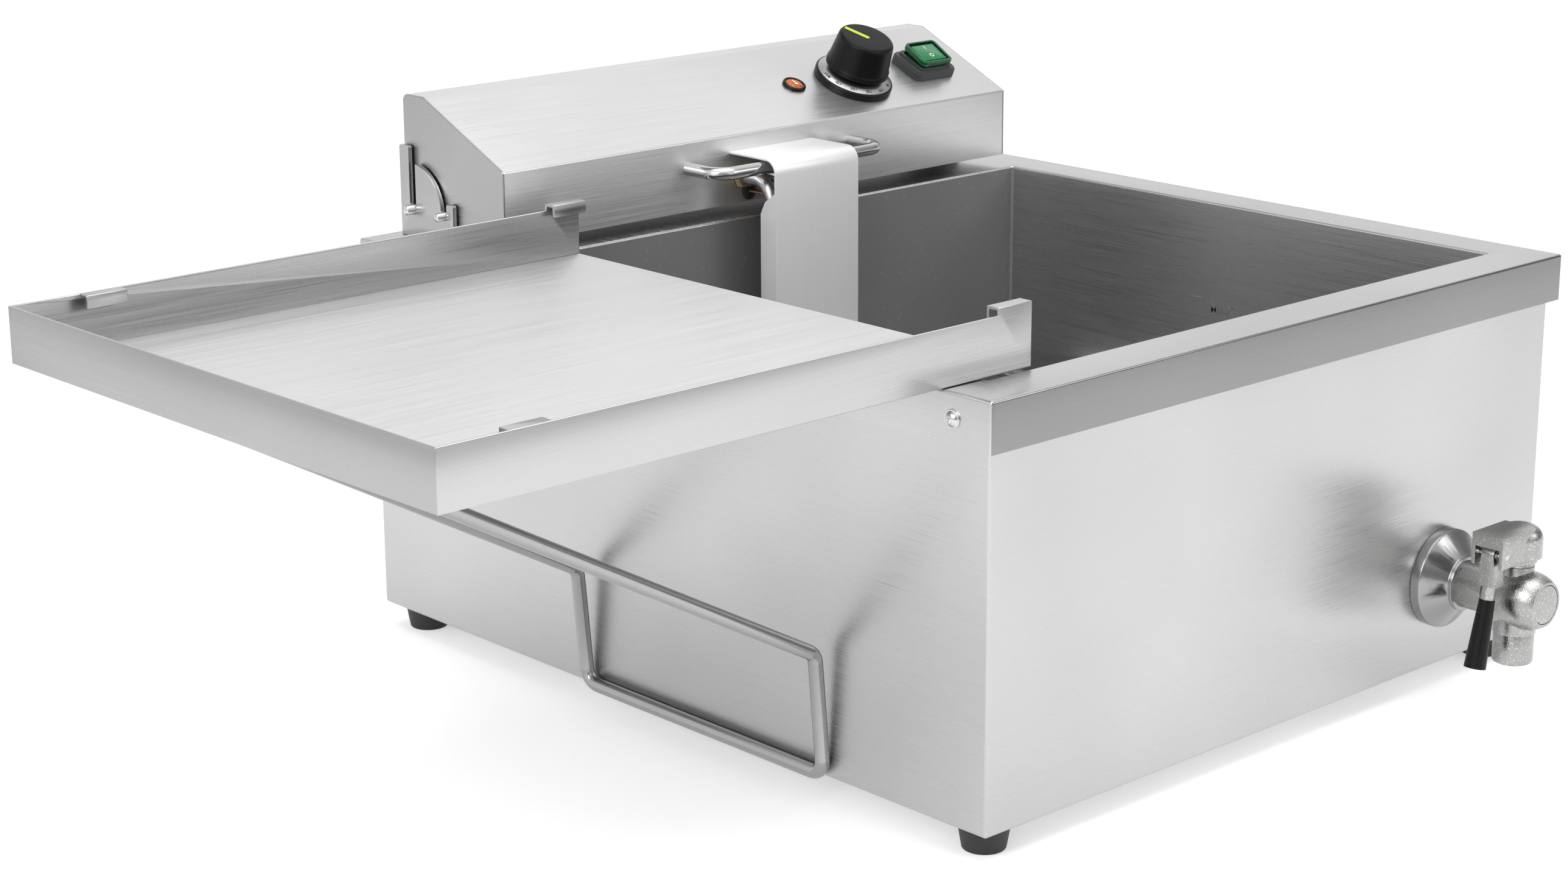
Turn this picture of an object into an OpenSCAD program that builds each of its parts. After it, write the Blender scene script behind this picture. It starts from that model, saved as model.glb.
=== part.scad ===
// Countertop donut fryer: a boxed oil tank with a drain valve, a tilting control head
// that carries the heating elements, and a lift-off draining tray on a wire brace.
// X runs along the front, Y from front to back, Z up. Units are millimetres.

/* [Casing] */
// Thickness of the casing sheet
casing_t = 1.2; // [0.8:0.1:2]
// Distance from the side of the casing to the inside of the tank
tank_side = 24; // [16:1:40]
// Distance from the front of the casing to the inside of the tank
tank_front = 26; // [20:1:34]
// Distance from the back of the casing to the inside of the tank
tank_behind = 108; // [102:1:130]
// Height of the tank floor above the underside of the casing
tank_under = 80; // [74:1:110]
// Width of the flange folded in under the casing walls
casing_flange = 38; // [34:1:60]

/* [Feet] */
// Height of a rubber foot
foot_h = 15; // [10:1:30]
// Diameter of a foot where it meets the casing
foot_top_d = 29; // [20:1:32]
// Diameter of a foot where it meets the table
foot_bottom_d = 23.5; // [18:0.5:30]
// Distance of a foot's axis from the casing sides
foot_inset = 19; // [17:1:24]
// Diameter of the screw through a foot
foot_screw_d = 5; // [4:0.5:6]

/* [Oil tank] */
// Inner width of the tank
tank_w = 422; // [380:1:430]
// Inner depth of the tank from front to back
tank_d = 380; // [350:1:390]
// Depth of the tank below its rim
tank_h = 150; // [120:1:160]
// Thickness of the tank sheet
tank_t = 1.5; // [1:0.1:2.5]
// Inner corner radius of the tank
tank_r = 2; // [1:0.5:20]
// How far the rim stands out past the casing
rim_overhang = 5; // [3:0.5:9]
// Height of the rim's folded skirt
rim_skirt_h = 27; // [20:1:40]
// Radius of the rim's corners
rim_r = 1.5; // [1:0.1:3]

/* [Control head] */
// Width of the head over its end plates
head_w = 421; // [400:1:440]
// Gap between the tank rim and the underside of the head
head_gap = 7; // [5:0.5:12]
// Height of the head's front panel
head_front_h = 43; // [40:1:60]
// Height of the head at its back
head_h = 78; // [74:1:110]
// Depth of the head
head_d = 96; // [92:1:120]
// Depth of the narrow flat top behind the slope
head_top_d = 19.5; // [15:0.5:28]
// Distance from the back of the casing to the back of the head
head_inset = 4; // [3:0.5:10]
// Outer radius of the bend at the top of the head's back
head_r = 4; // [2:0.5:6]
// Thickness of the head's sheet
head_t = 1.2; // [0.8:0.1:2]
// Width of the flange that the back cover is screwed to
head_lip = 12; // [9:1:16]

/* [Head hinge] */
// Distance of the pivot in front of the head's back
pivot_inset = 12; // [10:0.5:18]
// Height of the pivot above the tank rim
pivot_h = 17; // [15:0.5:25]
// Diameter of the pivot pin
pivot_pin_d = 6; // [4:0.5:8]
// Diameter of the guide pin
guide_pin_d = 5; // [4:0.5:7]
// Distance from the pivot pin to the guide pin
guide_r = 30.5; // [26:0.5:36]
// How far the pins stand out of the hinge plate
pin_out = 6; // [3:0.5:10]
// Thickness of a hinge plate
hinge_t = 3; // [2:0.5:5]
// Gap between a hinge plate and the end of the head
hinge_gap = 1; // [0.5:0.1:3]
// Height of the stop bar above the pivot
hinge_bar_h = 38; // [34:1:46]
// Width of the stop bar behind the pivot slot
hinge_bar_w = 9; // [6:0.5:12]
// Width of the small ear in front of the guide pin
hinge_ear_w = 6.5; // [4:0.5:9]
// Radial clearance of a pin in its slot
pin_clear = 0.05; // [0.02:0.01:0.1]

/* [Front handle and element guard] */
// Length of the handle between its leg centres
handle_w = 137; // [110:1:200]
// Distance of the handle bar behind the front of the element guard
handle_in = 13.5; // [10:0.5:16]
// Diameter of the handle rod
handle_d = 8; // [6:0.5:10]
// Height of the handle above the tank rim
handle_z = 33.5; // [31:0.5:36]
// Width of the element guard
guard_w = 70; // [66:1:100]
// Distance of the guard's front from the back wall of the tank
guard_in = 34; // [32:1:50]
// Thickness of the guard's sheet
guard_t = 1.5; // [1:0.1:2.5]
// Depth of the guard's folded sides
guard_side = 14; // [8:1:20]
// Outer radius of the guard's top bend
guard_r = 9; // [4:1:14]
// Height of the top of the folded sides above the tank rim
guard_side_z = 13; // [5:1:20]

/* [Heating elements] */
// Diameter of the element tube
element_d = 8.5; // [6:0.5:10]
// Distance between the runs of an element
element_pitch = 52; // [44:1:54]
// Height of the element above the tank floor
element_z = 22; // [14:1:40]
// Distance between the two tubes beside the middle
element_gap = 22; // [20:1:26]
// Distance between the two rising tubes of one element
element_leg_gap = 16; // [14:1:18]
// Bend radius of the rising tubes
element_bend = 14; // [12:1:20]
// Distance of the rising tubes behind the front of the guard
element_back = 12; // [10:1:16]
// Clearance of the elements to the front of the tank
element_front = 32; // [31:1:60]
// Width of the straps that hold the elements
strap_w = 12; // [8:1:20]
// Thickness of the straps
strap_t = 1.5; // [1:0.1:3]
// Distance of the front strap behind the front of the elements
strap_in = 43; // [30:1:60]
// Distance between the two straps
strap_gap = 160; // [120:1:180]
// Diameter of a thermostat bulb
bulb_d = 6; // [4:0.5:8]
// Length of a thermostat bulb
bulb_l = 90; // [60:1:140]
// Distance of a bulb from the middle of the tank
bulb_x = 40; // [36:1:48]
// Distance of a bulb's back end behind the back strap
bulb_past = 25; // [15:1:35]
// Diameter of a thermostat capillary
capillary_d = 1.6; // [1:0.1:3]

/* [Controls] */
// Distance of the indicator lamp from the right end of the head
lamp_in = 157.5; // [150:0.5:180]
// Diameter of the lamp bezel
lamp_d = 15.4; // [12:0.1:20]
// Distance of the thermostat knob from the right end of the head
knob_in = 109.5; // [98:0.5:118]
// Distance of the knob's middle below the lamp's line on the slope
knob_drop = 4.5; // [0:0.5:8]
// Diameter of the black dial flange
dial_d = 52; // [46:1:58]
// Thickness of the dial flange
dial_t = 5; // [3:0.5:7]
// Rise of the number ring from its outer to its inner edge
ring_rise = 2; // [0.5:0.5:3]
// Gap between the number ring and the knob
knob_gap = 3; // [1:0.5:5]
// Diameter of the knob at its base
knob_d = 42; // [34:1:44]
// Diameter of the knob at its top
knob_top_d = 37; // [28:0.5:40]
// Height of the top of the knob above the panel
knob_h = 33; // [28:1:40]
// Diameter of the thermostat shaft
shaft_d = 6; // [4:0.5:8]
// Angle of the knob's pointer from the head's right end towards its top
pointer_a = 118; // [0:1:360]
// Distance of the power switch from the right end of the head
switch_in = 43; // [34:0.5:52]
// Distance of the switch's middle below the lamp's line on the slope
switch_drop = 2; // [0:0.5:6]
// Width of the rubber boot of the switch
boot_w = 36.5; // [34:0.5:42]
// Height of the boot along the slope
boot_l = 29; // [27:0.5:34]
// Thickness of the boot base
boot_t = 6; // [4:0.5:8]
// Width of the collar on the boot
collar_w = 29; // [27:0.5:31]
// Length of the collar along the slope
collar_l = 24; // [21:1:26]
// Height of the collar above the boot base
collar_h = 1.8; // [1.5:0.1:3]
// Width of the rocker button
rocker_w = 27; // [25:0.5:30]
// Length of the rocker button along the slope
rocker_l = 22.5; // [21:0.5:25]
// Thickness of the rocker button
rocker_t = 4; // [3:0.5:5]
// Height of the rocker's face above the panel
rocker_h = 13.5; // [13:0.5:18]
// Angle that the rocker leans to each side
rocker_tilt = 6; // [4:0.5:7]

/* [Inside the head] */
// Distance of the cable gland from the left end of the head
gland_in = 60.5; // [40:0.5:80]
// Height of the cable gland above the underside of the head
gland_up = 56; // [30:1:60]
// Distance of the terminal block from the left end of the head
terminal_in = 25.5; // [15:0.5:40]
// Distance of the safety cut-out from the left end of the head
cutout_in = 100.5; // [90:0.5:120]

/* [Drain valve] */
// Distance of the valve from the middle of the front
valve_x = 143; // [110:1:170]
// Depth of the valve's axis below the tank floor
valve_drop = 26; // [24:1:36]
// Distance of the drain hole behind the front of the tank
drain_in = 30; // [24:1:40]
// Diameter of the conical wall flange
flange_d = 58; // [48:1:66]
// Thickness of the wall flange at its edge
flange_rim = 6.6; // [3:0.2:9]
// Depth of the wall flange
flange_l = 19; // [14:1:24]
// Diameter of the valve neck
neck_d = 28; // [24:1:32]
// Distance of the valve stem from the casing
stem_out = 52; // [46:1:60]
// Diameter of the valve body
body_d = 34; // [32:1:40]
// Distance of the flat end of the body from the stem
body_end = 20; // [19:0.5:21]
// Diameter of the flat end of the body
cap_d = 26; // [25.5:0.5:29]
// Diameter of the outlet spout
spout_d = 23; // [20:1:26]
// Length of the plain spout below the body
spout_free = 18; // [14:1:20]
// Distance of the spout's mouth below the valve's axis
spout_l = 38; // [30:1:42]
// Diameter of the oil passage in the pipe and at the spout's mouth
drain_bore = 14; // [12:1:16]
// Diameter of the oil passage through the ball
port_bore = 11; // [8:0.5:11]
// Diameter of the valve ball
ball_d = 22; // [20:0.5:24]
// Diameter of the valve stem
stem_d = 9; // [7:0.5:10]
// Diameter of the drain pipe
pipe_d = 21; // [19:1:24]

/* [Valve lever] */
// Length of the lever block from the stem
lever_l = 31; // [30:0.5:34]
// Width of the lever block
lever_w = 20.4; // [19:0.2:23]
// Height of the lever block
lever_t = 18.3; // [17:0.1:20]
// Radius of the lever block round the stem
lever_r = 13.2; // [12:0.2:15]
// Height of the slot in the lever block
slot_h = 10.9; // [10:0.1:12]
// Depth of the slot in the lever block
slot_l = 11; // [10:0.5:13]
// Width of the slot in the lever block
slot_w = 15.8; // [14:0.2:17]
// Thickness of the locking tab
lock_l = 8.4; // [7:0.2:9]
// Width of the locking tab at its hinge pin
lock_top_w = 8; // [6:0.5:10]
// Width of the locking tab at its lower end
lock_end_w = 12.3; // [9:0.1:13]
// Distance of the tab's lower end below the hinge pin
lock_h = 18; // [16:0.2:19]
// Diameter of the tab's hinge pin
lock_pin_d = 3; // [2:0.5:4]
// Diameter of the ferrule under the tab
ferrule_d = 8; // [7:0.1:8.4]
// Length of the ferrule
ferrule_l = 8.5; // [6:0.5:12]
// Length of the black grip
grip_l = 39; // [30:1:42]
// Diameter of the grip where it starts
grip_top_d = 9; // [7:0.1:10]
// Diameter of the grip at its end
grip_end_d = 12.6; // [9:0.1:14]
// Angle that the grip leans away from the valve
grip_lean = 12; // [11:0.5:16]

/* [Draining tray] */
// Length of the tray from its outer wall to its pouring edge
tray_l = 368; // [320:1:420]
// Width of the tray from front to back
tray_w = 360; // [320:1:372]
// Height of the tray's walls
tray_h = 30; // [20:1:50]
// Thickness of the tray's sheet
tray_t = 1.5; // [1:0.1:2.5]
// How far the pouring edge reaches in past the casing's side
tray_reach = 58; // [46:1:70]
// Distance of the tray's front wall from the front of the casing
tray_front = 28; // [26:1:34]
// Length of a lug for the draining rack
lug_l = 24; // [14:1:36]
// How far a lug is folded in
lug_in = 7; // [4:0.5:12]
// Height of the ears at the pouring edge above the walls
ear_h = 4; // [2:0.5:8]
// Gap between the tray and the rim that it rests on
tray_seat = 0.3; // [0.1:0.1:1]

/* [Wire brace] */
// Diameter of the brace rod
brace_d = 8; // [5:0.5:10]
// Distance between the two struts
brace_w = 196; // [120:1:260]
// Distance of the front strut behind the front of the casing
brace_front = 114; // [80:1:140]
// Height of the bends where the struts leave the wall, over the casing's underside
brace_bend_z = 72; // [50:1:100]
// Height of the bottom rod over the casing's underside
brace_low_z = 3; // [2:1:30]
// How far the bends stand further out than the bottom rod
brace_lean = 6; // [0:1:12]
// Distance of the brace's hinge from the outer end of the tray
brace_hinge_in = 22; // [14:1:50]
// Length of an eyelet that holds the brace
eyelet_l = 18; // [10:1:30]

/* [Hidden] */
$fn = 48;
fit = 0.05;
seat = 0.3;
eps = 0.01;
// Overlap of a rod's straights with its bends, and how much thicker the bends are
lap = 0.2;
swell = 0.04;

// Heights and faces that the pieces share
casing_w = tank_w + 2 * tank_side;
casing_d = tank_front + tank_d + tank_behind;
casing_h = tank_under + tank_h;
rim_z = foot_h + casing_h;
front_y = -casing_d / 2;
back_y = casing_d / 2;
side_x = casing_w / 2;
tank_front_y = front_y + tank_front;
tank_back_y = tank_front_y + tank_d;
tank_mid_y = (tank_front_y + tank_back_y) / 2;
tank_floor_z = rim_z - tank_h;
head_back_y = back_y - head_inset;
head_front_y = head_back_y - head_d;
head_z = rim_z + head_gap;
slope_dy = head_d - head_top_d;
slope_dz = head_h - head_front_h;
slope_l = norm([slope_dy, slope_dz]);
slope_a = atan2(slope_dz, slope_dy);
control_s = slope_l * 0.475;
lamp_x = head_w / 2 - lamp_in;
knob_x = head_w / 2 - knob_in;
switch_x = head_w / 2 - switch_in;
knob_s = control_s - knob_drop;
switch_s = control_s - switch_drop;
guard_front_y = tank_back_y - guard_in;
guard_out = head_front_y - guard_front_y;
handle_out = guard_out - handle_in;
valve_z = tank_under - valve_drop;
pivot_y = head_back_y - pivot_inset;
pivot_z = rim_z + pivot_h;

// Lowest corner of the whole object in X and Y, for its place over the origin
tray_out_x = -side_x + tray_reach - tray_l;
lever_y = front_y - stem_out;
gland_out = 15;
far_left = tray_out_x;
screw_out = 3.2;
far_right = side_x + rim_overhang + screw_out;
far_front = lever_y - body_end;
far_back = head_back_y + gland_out;
origin_x = (far_left + far_right) / 2;
origin_y = (far_front + far_back) / 2;

// ---------- shared shapes ----------

// Rectangle with true round corners, centred
module rounded_rect(w, d, r) {
  square([w - 2 * r, d], center = true);
  square([w, d - 2 * r], center = true);
  for (x = [-1, 1], y = [-1, 1])
    translate([x * (w / 2 - r), y * (d / 2 - r)]) circle(r);
}

// Hollow round tube along Z
module tube(d, bore, h) {
  difference() {
    cylinder(d = d, h = h);
    translate([0, 0, -eps]) cylinder(d = bore, h = h + 2 * eps);
  }
}

// Hexagonal nut along Z with a bore; across is its size over the flats
module nut(across, bore, h) {
  difference() {
    cylinder(d = across / cos(30), h = h, $fn = 6);
    translate([0, 0, -eps]) cylinder(d = bore, h = h + 2 * eps);
  }
}

function unit(v) = v / norm(v);
function turn(p, i) = acos(unit(p[i] - p[i - 1]) * unit(p[i + 1] - p[i]));
function bend_r(r, i) = is_list(r) ? r[i - 1] : r;
function is_end(p, i) = i == 0 || i == len(p) - 1;
function setback(p, i, r) = is_end(p, i) ? 0 : bend_r(r, i) * tan(turn(p, i) / 2);
function reach(p, i, r) = is_end(p, i) ? 0 : lap - setback(p, i, r);

// Round rod bent along a list of points. The corners are rounded to the radius r, which
// is one number or a list with one for each corner. Straights reach a little into bends.
module bent_rod(p, r, d) {
  for (i = [0 : len(p) - 2]) {
    dir = unit(p[i + 1] - p[i]);
    length = norm(p[i + 1] - p[i]) + reach(p, i, r) + reach(p, i + 1, r);
    translate(p[i] - dir * reach(p, i, r)) rotate([0, acos(dir.z), atan2(dir.y, dir.x)])
      cylinder(d = d, h = length, $fn = 24);
  }
  for (i = [1 : len(p) - 2]) {
    t1 = unit(p[i] - p[i - 1]);
    t2 = unit(p[i + 1] - p[i]);
    centre = p[i] + unit(t2 - t1) * bend_r(r, i) / cos(turn(p, i) / 2);
    ax = unit(p[i] - t1 * setback(p, i, r) - centre);
    az = cross(ax, t1);
    multmatrix([[ax.x, t1.x, az.x, centre.x], [ax.y, t1.y, az.y, centre.y],
                [ax.z, t1.z, az.z, centre.z], [0, 0, 0, 1]])
      rotate_extrude(angle = turn(p, i), $fn = 32) translate([bend_r(r, i), 0])
        circle(d = d + swell, $fn = 24);
  }
}

// Places its children on the sloping panel: X along the head, Y up the slope, Z outwards
module on_slope(x, s = control_s) {
  translate([x, head_front_y, head_z + head_front_h])
    rotate([slope_a, 0, 0])
      translate([0, s, 0]) children();
}

// ---------- casing and feet ----------

module at_feet() {
  for (x = [-1, 1], y = [-1, 1])
    translate([x * (side_x - foot_inset), y * (back_y - foot_inset), 0]) children();
}

module casing() {
  wall_h = casing_h - tank_t;
  color("silver") difference() {
    translate([-side_x, front_y, foot_h]) cube([casing_w, casing_d, wall_h]);
    translate([-side_x + casing_t, front_y + casing_t, foot_h + casing_t])
      cube([casing_w - 2 * casing_t, casing_d - 2 * casing_t, wall_h]);
    translate([-side_x + casing_flange, front_y + casing_flange, foot_h - 1])
      cube([casing_w - 2 * casing_flange, casing_d - 2 * casing_flange, casing_t + 2]);
    at_feet() translate([0, 0, foot_h - 1]) cylinder(d = foot_screw_d, h = casing_t + 2);
    translate([valve_x, front_y - 1, foot_h + valve_z]) rotate([-90, 0, 0])
      cylinder(d = pipe_d, h = casing_t + 2);
    at_tank_screws() rotate([0, 90, 0])
      translate([0, 0, -rim_overhang - 1]) cylinder(d = tank_screw_d, h = 3 * rim_overhang);
  }
}

module base_plate() {
  color("silver") difference() {
    translate([-side_x + casing_t, front_y + casing_t, foot_h + casing_t])
      cube([casing_w - 2 * casing_t, casing_d - 2 * casing_t, casing_t]);
    at_feet() translate([0, 0, foot_h]) cylinder(d = foot_screw_d, h = 4 * casing_t);
    for (i = [-4 : 4])
      translate([i * 30, 0, foot_h + casing_t - 1]) linear_extrude(casing_t + 2)
        rounded_rect(6, 120, 2.9);
  }
}

foot_recess_d = 12;
foot_recess_h = 6;

module feet() {
  color("dimgray") at_feet() difference() {
    rotate_extrude() polygon([
      [0, 0], [foot_bottom_d / 2 - 1, 0], [foot_bottom_d / 2, 1],
      [foot_top_d / 2, foot_h], [0, foot_h]]);
    translate([0, 0, -1]) cylinder(d = foot_screw_d, h = foot_h + 2);
    translate([0, 0, -1]) cylinder(d = foot_recess_d, h = foot_recess_h + 1);
  }
}

module foot_screws() {
  head_h = 3;
  nut_h = 4;
  top_z = foot_h + 2 * casing_t;
  color("gray") at_feet() {
    translate([0, 0, foot_recess_h - head_h]) difference() {
      cylinder(d = foot_recess_d - 2, h = head_h);
      translate([0, 0, -1]) cylinder(d = 4, h = 2.5, $fn = 6);
    }
    translate([0, 0, foot_recess_h]) cylinder(d = foot_screw_d, h = top_z - foot_recess_h + nut_h + 1);
    translate([0, 0, top_z]) nut(8, foot_screw_d, nut_h);
  }
}

// ---------- oil tank ----------

tank_screw_d = 4;
tank_screw_y = 21;

// Middle of each button-head screw on the rim's skirt, facing outwards along X
module at_tank_screws() {
  for (side = [-1, 1], y = [front_y + tank_screw_y, back_y - tank_screw_y])
    translate([side * side_x, y, rim_z - rim_skirt_h / 2])
      rotate([0, 0, side > 0 ? 0 : 180]) children();
}

module tank_hollow(h) {
  translate([0, tank_mid_y, tank_floor_z]) linear_extrude(h) rounded_rect(tank_w, tank_d, tank_r);
}

// Deep pan, welded under the rim, with the drain hole in its floor
module oil_tank() {
  color("lightgray") difference() {
    translate([0, tank_mid_y, tank_floor_z - tank_t]) linear_extrude(tank_h)
      rounded_rect(tank_w + 2 * tank_t, tank_d + 2 * tank_t, tank_r + tank_t);
    tank_hollow(tank_h + 1);
    translate([valve_x, tank_front_y + drain_in, tank_floor_z - tank_t - 1])
      cylinder(d = drain_bore, h = tank_t + 2);
  }
}

// Wide frame round the pan's mouth, with a skirt folded down over the casing
module tank_rim() {
  rim_w = casing_w + 2 * rim_overhang;
  rim_d = casing_d + 2 * rim_overhang;
  color("lightgray") difference() {
    translate([0, 0, rim_z - rim_skirt_h]) linear_extrude(rim_skirt_h)
      rounded_rect(rim_w, rim_d, rim_r);
    translate([0, 0, rim_z - rim_skirt_h - 1]) linear_extrude(rim_skirt_h - tank_t + 1)
      square([rim_w - 2 * tank_t, rim_d - 2 * tank_t], center = true);
    tank_hollow(tank_h + 1);
    at_tank_screws() rotate([0, 90, 0]) translate([0, 0, 1])
      cylinder(d = tank_screw_d, h = rim_overhang);
  }
}

// Button-head screws with washers, through the skirt and a spacer into the casing wall
module tank_screws() {
  button_r = 4.2;
  color("silver") at_tank_screws() rotate([0, 90, 0]) {
    tube(9, tank_screw_d, rim_overhang - tank_t);
    translate([0, 0, rim_overhang]) tube(10, tank_screw_d, 1);
    translate([0, 0, -casing_t - 4]) cylinder(d = tank_screw_d, h = rim_overhang + casing_t + 5);
    translate([0, 0, -casing_t - 3.2]) nut(7, tank_screw_d, 3.2);
    translate([0, 0, rim_overhang + 1]) difference() {
      rotate_extrude() intersection() {
        translate([0, -2.6]) circle(r = 5);
        square([button_r, screw_out - 1]);
      }
      translate([0, 0, 0.9]) cylinder(d = 2.9, h = 4, $fn = 6);
    }
  }
}

// ---------- hinge plates ----------

// The plate seen from the left side, with the pivot at its origin and the front towards -X
module hinge_outline() {
  slot_r = pivot_pin_d / 2 + pin_clear;
  arc_r = guide_r - guide_pin_d / 2 - pin_clear;
  ear_x = guide_r + guide_pin_d / 2 + pin_clear;
  ear_top = 7.5;
  difference() {
    union() {
      translate([slot_r, -pivot_h]) square([hinge_bar_w, pivot_h + hinge_bar_h - 1.5]);
      translate([slot_r + 1.5, 0]) square([hinge_bar_w - 3, hinge_bar_h]);
      for (x = [slot_r + 1.5, slot_r + hinge_bar_w - 1.5])
        translate([x, hinge_bar_h - 1.5]) circle(1.5);
      translate([-ear_x - hinge_ear_w, -pivot_h])
        square([ear_x + hinge_ear_w + slot_r + 1, pivot_h]);
      intersection() {
        circle(arc_r, $fn = 96);
        translate([-arc_r, -1]) square([arc_r - slot_r, arc_r + 1]);
      }
      translate([-ear_x - hinge_ear_w, -1]) square([hinge_ear_w, ear_top - 0.5]);
      translate([-ear_x - hinge_ear_w + 1.5, 0]) square([hinge_ear_w - 3, ear_top]);
      for (x = [-ear_x - hinge_ear_w + 1.5, -ear_x - 1.5])
        translate([x, ear_top - 1.5]) circle(1.5);
    }
    circle(slot_r);
    translate([-slot_r, 0]) square([2 * slot_r, hinge_bar_h]);
    translate([-guide_r, 0]) circle(guide_pin_d / 2 + pin_clear);
    translate([-guide_r - guide_pin_d / 2 - pin_clear, 0])
      square([guide_pin_d + 2 * pin_clear, guide_r]);
  }
}

module hinge_plates() {
  inner_x = head_w / 2 + hinge_gap;
  foot_w = 9;
  foot_l = guide_r + hinge_ear_w - norm([pivot_inset, pivot_h - head_gap]) - 1.4;
  foot_y = pivot_y - guide_r - hinge_ear_w;
  color("silver") for (side = [-1, 1])
    translate([side * (inner_x + (side > 0 ? 0 : hinge_t)), pivot_y, pivot_z])
      rotate([90, 0, 90]) linear_extrude(hinge_t) hinge_outline();
  color("silver") for (side = [-1, 1])
    translate([side > 0 ? inner_x - foot_w : -inner_x, foot_y, rim_z])
      cube([foot_w, foot_l, hinge_t]);
}

// ---------- drain and valve ----------

pipe_in = 6;

// Axis of the valve where it leaves the casing, with Z pointing out of the front
module at_valve() {
  translate([valve_x, front_y, foot_h + valve_z]) rotate([90, 0, 0]) children();
}

module drain_pipe() {
  bend = 14;
  out = flange_l + pipe_in;
  path = [
    [valve_x, tank_front_y + drain_in, tank_floor_z - tank_t],
    [valve_x, tank_front_y + drain_in, foot_h + valve_z],
    [valve_x, front_y - out, foot_h + valve_z]];
  color("silver") difference() {
    bent_rod(path, bend, pipe_d);
    bent_rod([path[0] + [0, 0, 1], path[1], path[2] - [0, 1, 0]], bend, drain_bore);
  }
}

module drain_nut() {
  color("goldenrod") at_valve() translate([0, 0, -casing_t - 6]) nut(30, pipe_d, 6);
}

// Thick rim, then a cone up to a narrow collar round the neck
module valve_flange() {
  collar_r = neck_d / 2 + 2;
  color("silver") at_valve() rotate_extrude() polygon([
    [pipe_d / 2, 0], [flange_d / 2 - 0.5, 0], [flange_d / 2, 0.5], [flange_d / 2, flange_rim - 0.5],
    [flange_d / 2 - 1.5, flange_rim + 0.8], [collar_r, flange_l - 2.5], [collar_r, flange_l],
    [pipe_d / 2, flange_l]]);
}

cavity_d = ball_d + 1;
seat_d = port_bore + 2.8;
seat_out = ball_d / 2 + 1.5;
spout_boss_d = spout_d + 1.2;
stem_boss_d = 19;
stem_boss_h = body_d / 2 + 2.5;

// Middle of the ball
module at_ball() {
  translate([valve_x, lever_y, foot_h + valve_z]) children();
}

// Turns its children, drawn along Z, towards each of the two ports of the body
module at_ports() {
  for (a = [-90, 180]) at_ball() rotate([a, 0, 0]) children();
}

// Half section of the barrel: a shallow cone behind, and a round shoulder in front
module barrel_outline() {
  back = 1 - body_d / 2;
  shoulder_z = 8;
  rise = body_end - shoulder_z;
  drop = (body_d - cap_d) / 2;
  shoulder_r = (rise ^ 2 + drop ^ 2) / (2 * drop);
  polygon([
    [0, back], [neck_d / 2 - 1, back], [body_d / 2 - 1, back + 4], [body_d / 2, back + 7],
    [body_d / 2, shoulder_z], [0, shoulder_z]]);
  intersection() {
    translate([body_d / 2 - shoulder_r, shoulder_z]) circle(shoulder_r, $fn = 96);
    translate([0, shoulder_z - eps]) square([body_d, rise + eps]);
  }
}

// Cast body: faceted neck, round barrel open at the front, and bosses for stem and spout
module valve_body() {
  color("silver") difference() {
    union() {
      at_valve() translate([0, 0, flange_l])
        cylinder(d = neck_d, h = stem_out - flange_l, $fn = 12);
      at_valve() translate([0, 0, stem_out]) rotate_extrude() barrel_outline();
      at_ball() translate([0, 0, -spout_l + spout_free])
        cylinder(d = spout_boss_d, h = spout_l - spout_free);
      at_ball() cylinder(d = stem_boss_d, h = stem_boss_h);
    }
    at_ball() sphere(d = cavity_d);
    at_ball() rotate([90, 0, 0]) cylinder(d = cavity_d, h = body_end + 1);
    at_ports() cylinder(d = port_bore, h = body_d / 2);
    at_ball() translate([0, 0, -spout_l])
      cylinder(d = drain_bore, h = spout_l - seat_out - 1.5);
    at_ports() cylinder(d = seat_d, h = seat_out);
    at_ball() cylinder(d = stem_d + 2 * fit, h = stem_boss_h + 1);
    at_valve() translate([0, 0, flange_l - 1]) cylinder(d = port_bore, h = stem_out - flange_l);
    at_valve() translate([0, 0, flange_l - 1]) cylinder(d = pipe_d + 2 * fit, h = pipe_in + 1);
  }
}

// Plain spout under the body
module valve_spout() {
  color("silver") at_ball() translate([0, 0, -spout_l]) difference() {
    rotate_extrude() polygon([
      [0, 0], [spout_d / 2 - 0.8, 0], [spout_d / 2, 0.8], [spout_d / 2, spout_free],
      [0, spout_free]]);
    translate([0, 0, -1]) cylinder(d = drain_bore, h = spout_free + 2);
  }
}

// Plug screwed into the body's round end, which holds the ball in
module valve_end_cap() {
  start = body_end - 7;
  plug_r = cavity_d / 2 - fit;
  color("silver") difference() {
    at_valve() translate([0, 0, stem_out]) rotate_extrude() polygon([
      [0, start], [plug_r, start], [plug_r, body_end - 0.4], [plug_r - 0.4, body_end],
      [0, body_end]]);
    at_ball() sphere(d = cavity_d);
  }
}

// Soft seat ring in each port, shaped to the ball
module valve_seats() {
  color("white") at_ports() difference() {
    tube(seat_d - 2 * fit, port_bore, seat_out);
    sphere(d = ball_d + 4 * fit);
  }
}

gland_z = foot_h + valve_z + stem_boss_h;
gland_ring_h = 2;
gland_plate_h = 3;
lever_z = gland_z + gland_ring_h + gland_plate_h + seat;

// Packing nut round the stem
module valve_gland() {
  color("silver") translate([valve_x, lever_y, gland_z]) {
    tube(stem_boss_d - 0.5, stem_d + 2 * fit, gland_ring_h);
    translate([0, 0, gland_ring_h]) tube(stem_boss_d + 2, stem_d + 2 * fit, gland_plate_h);
  }
}

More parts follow.
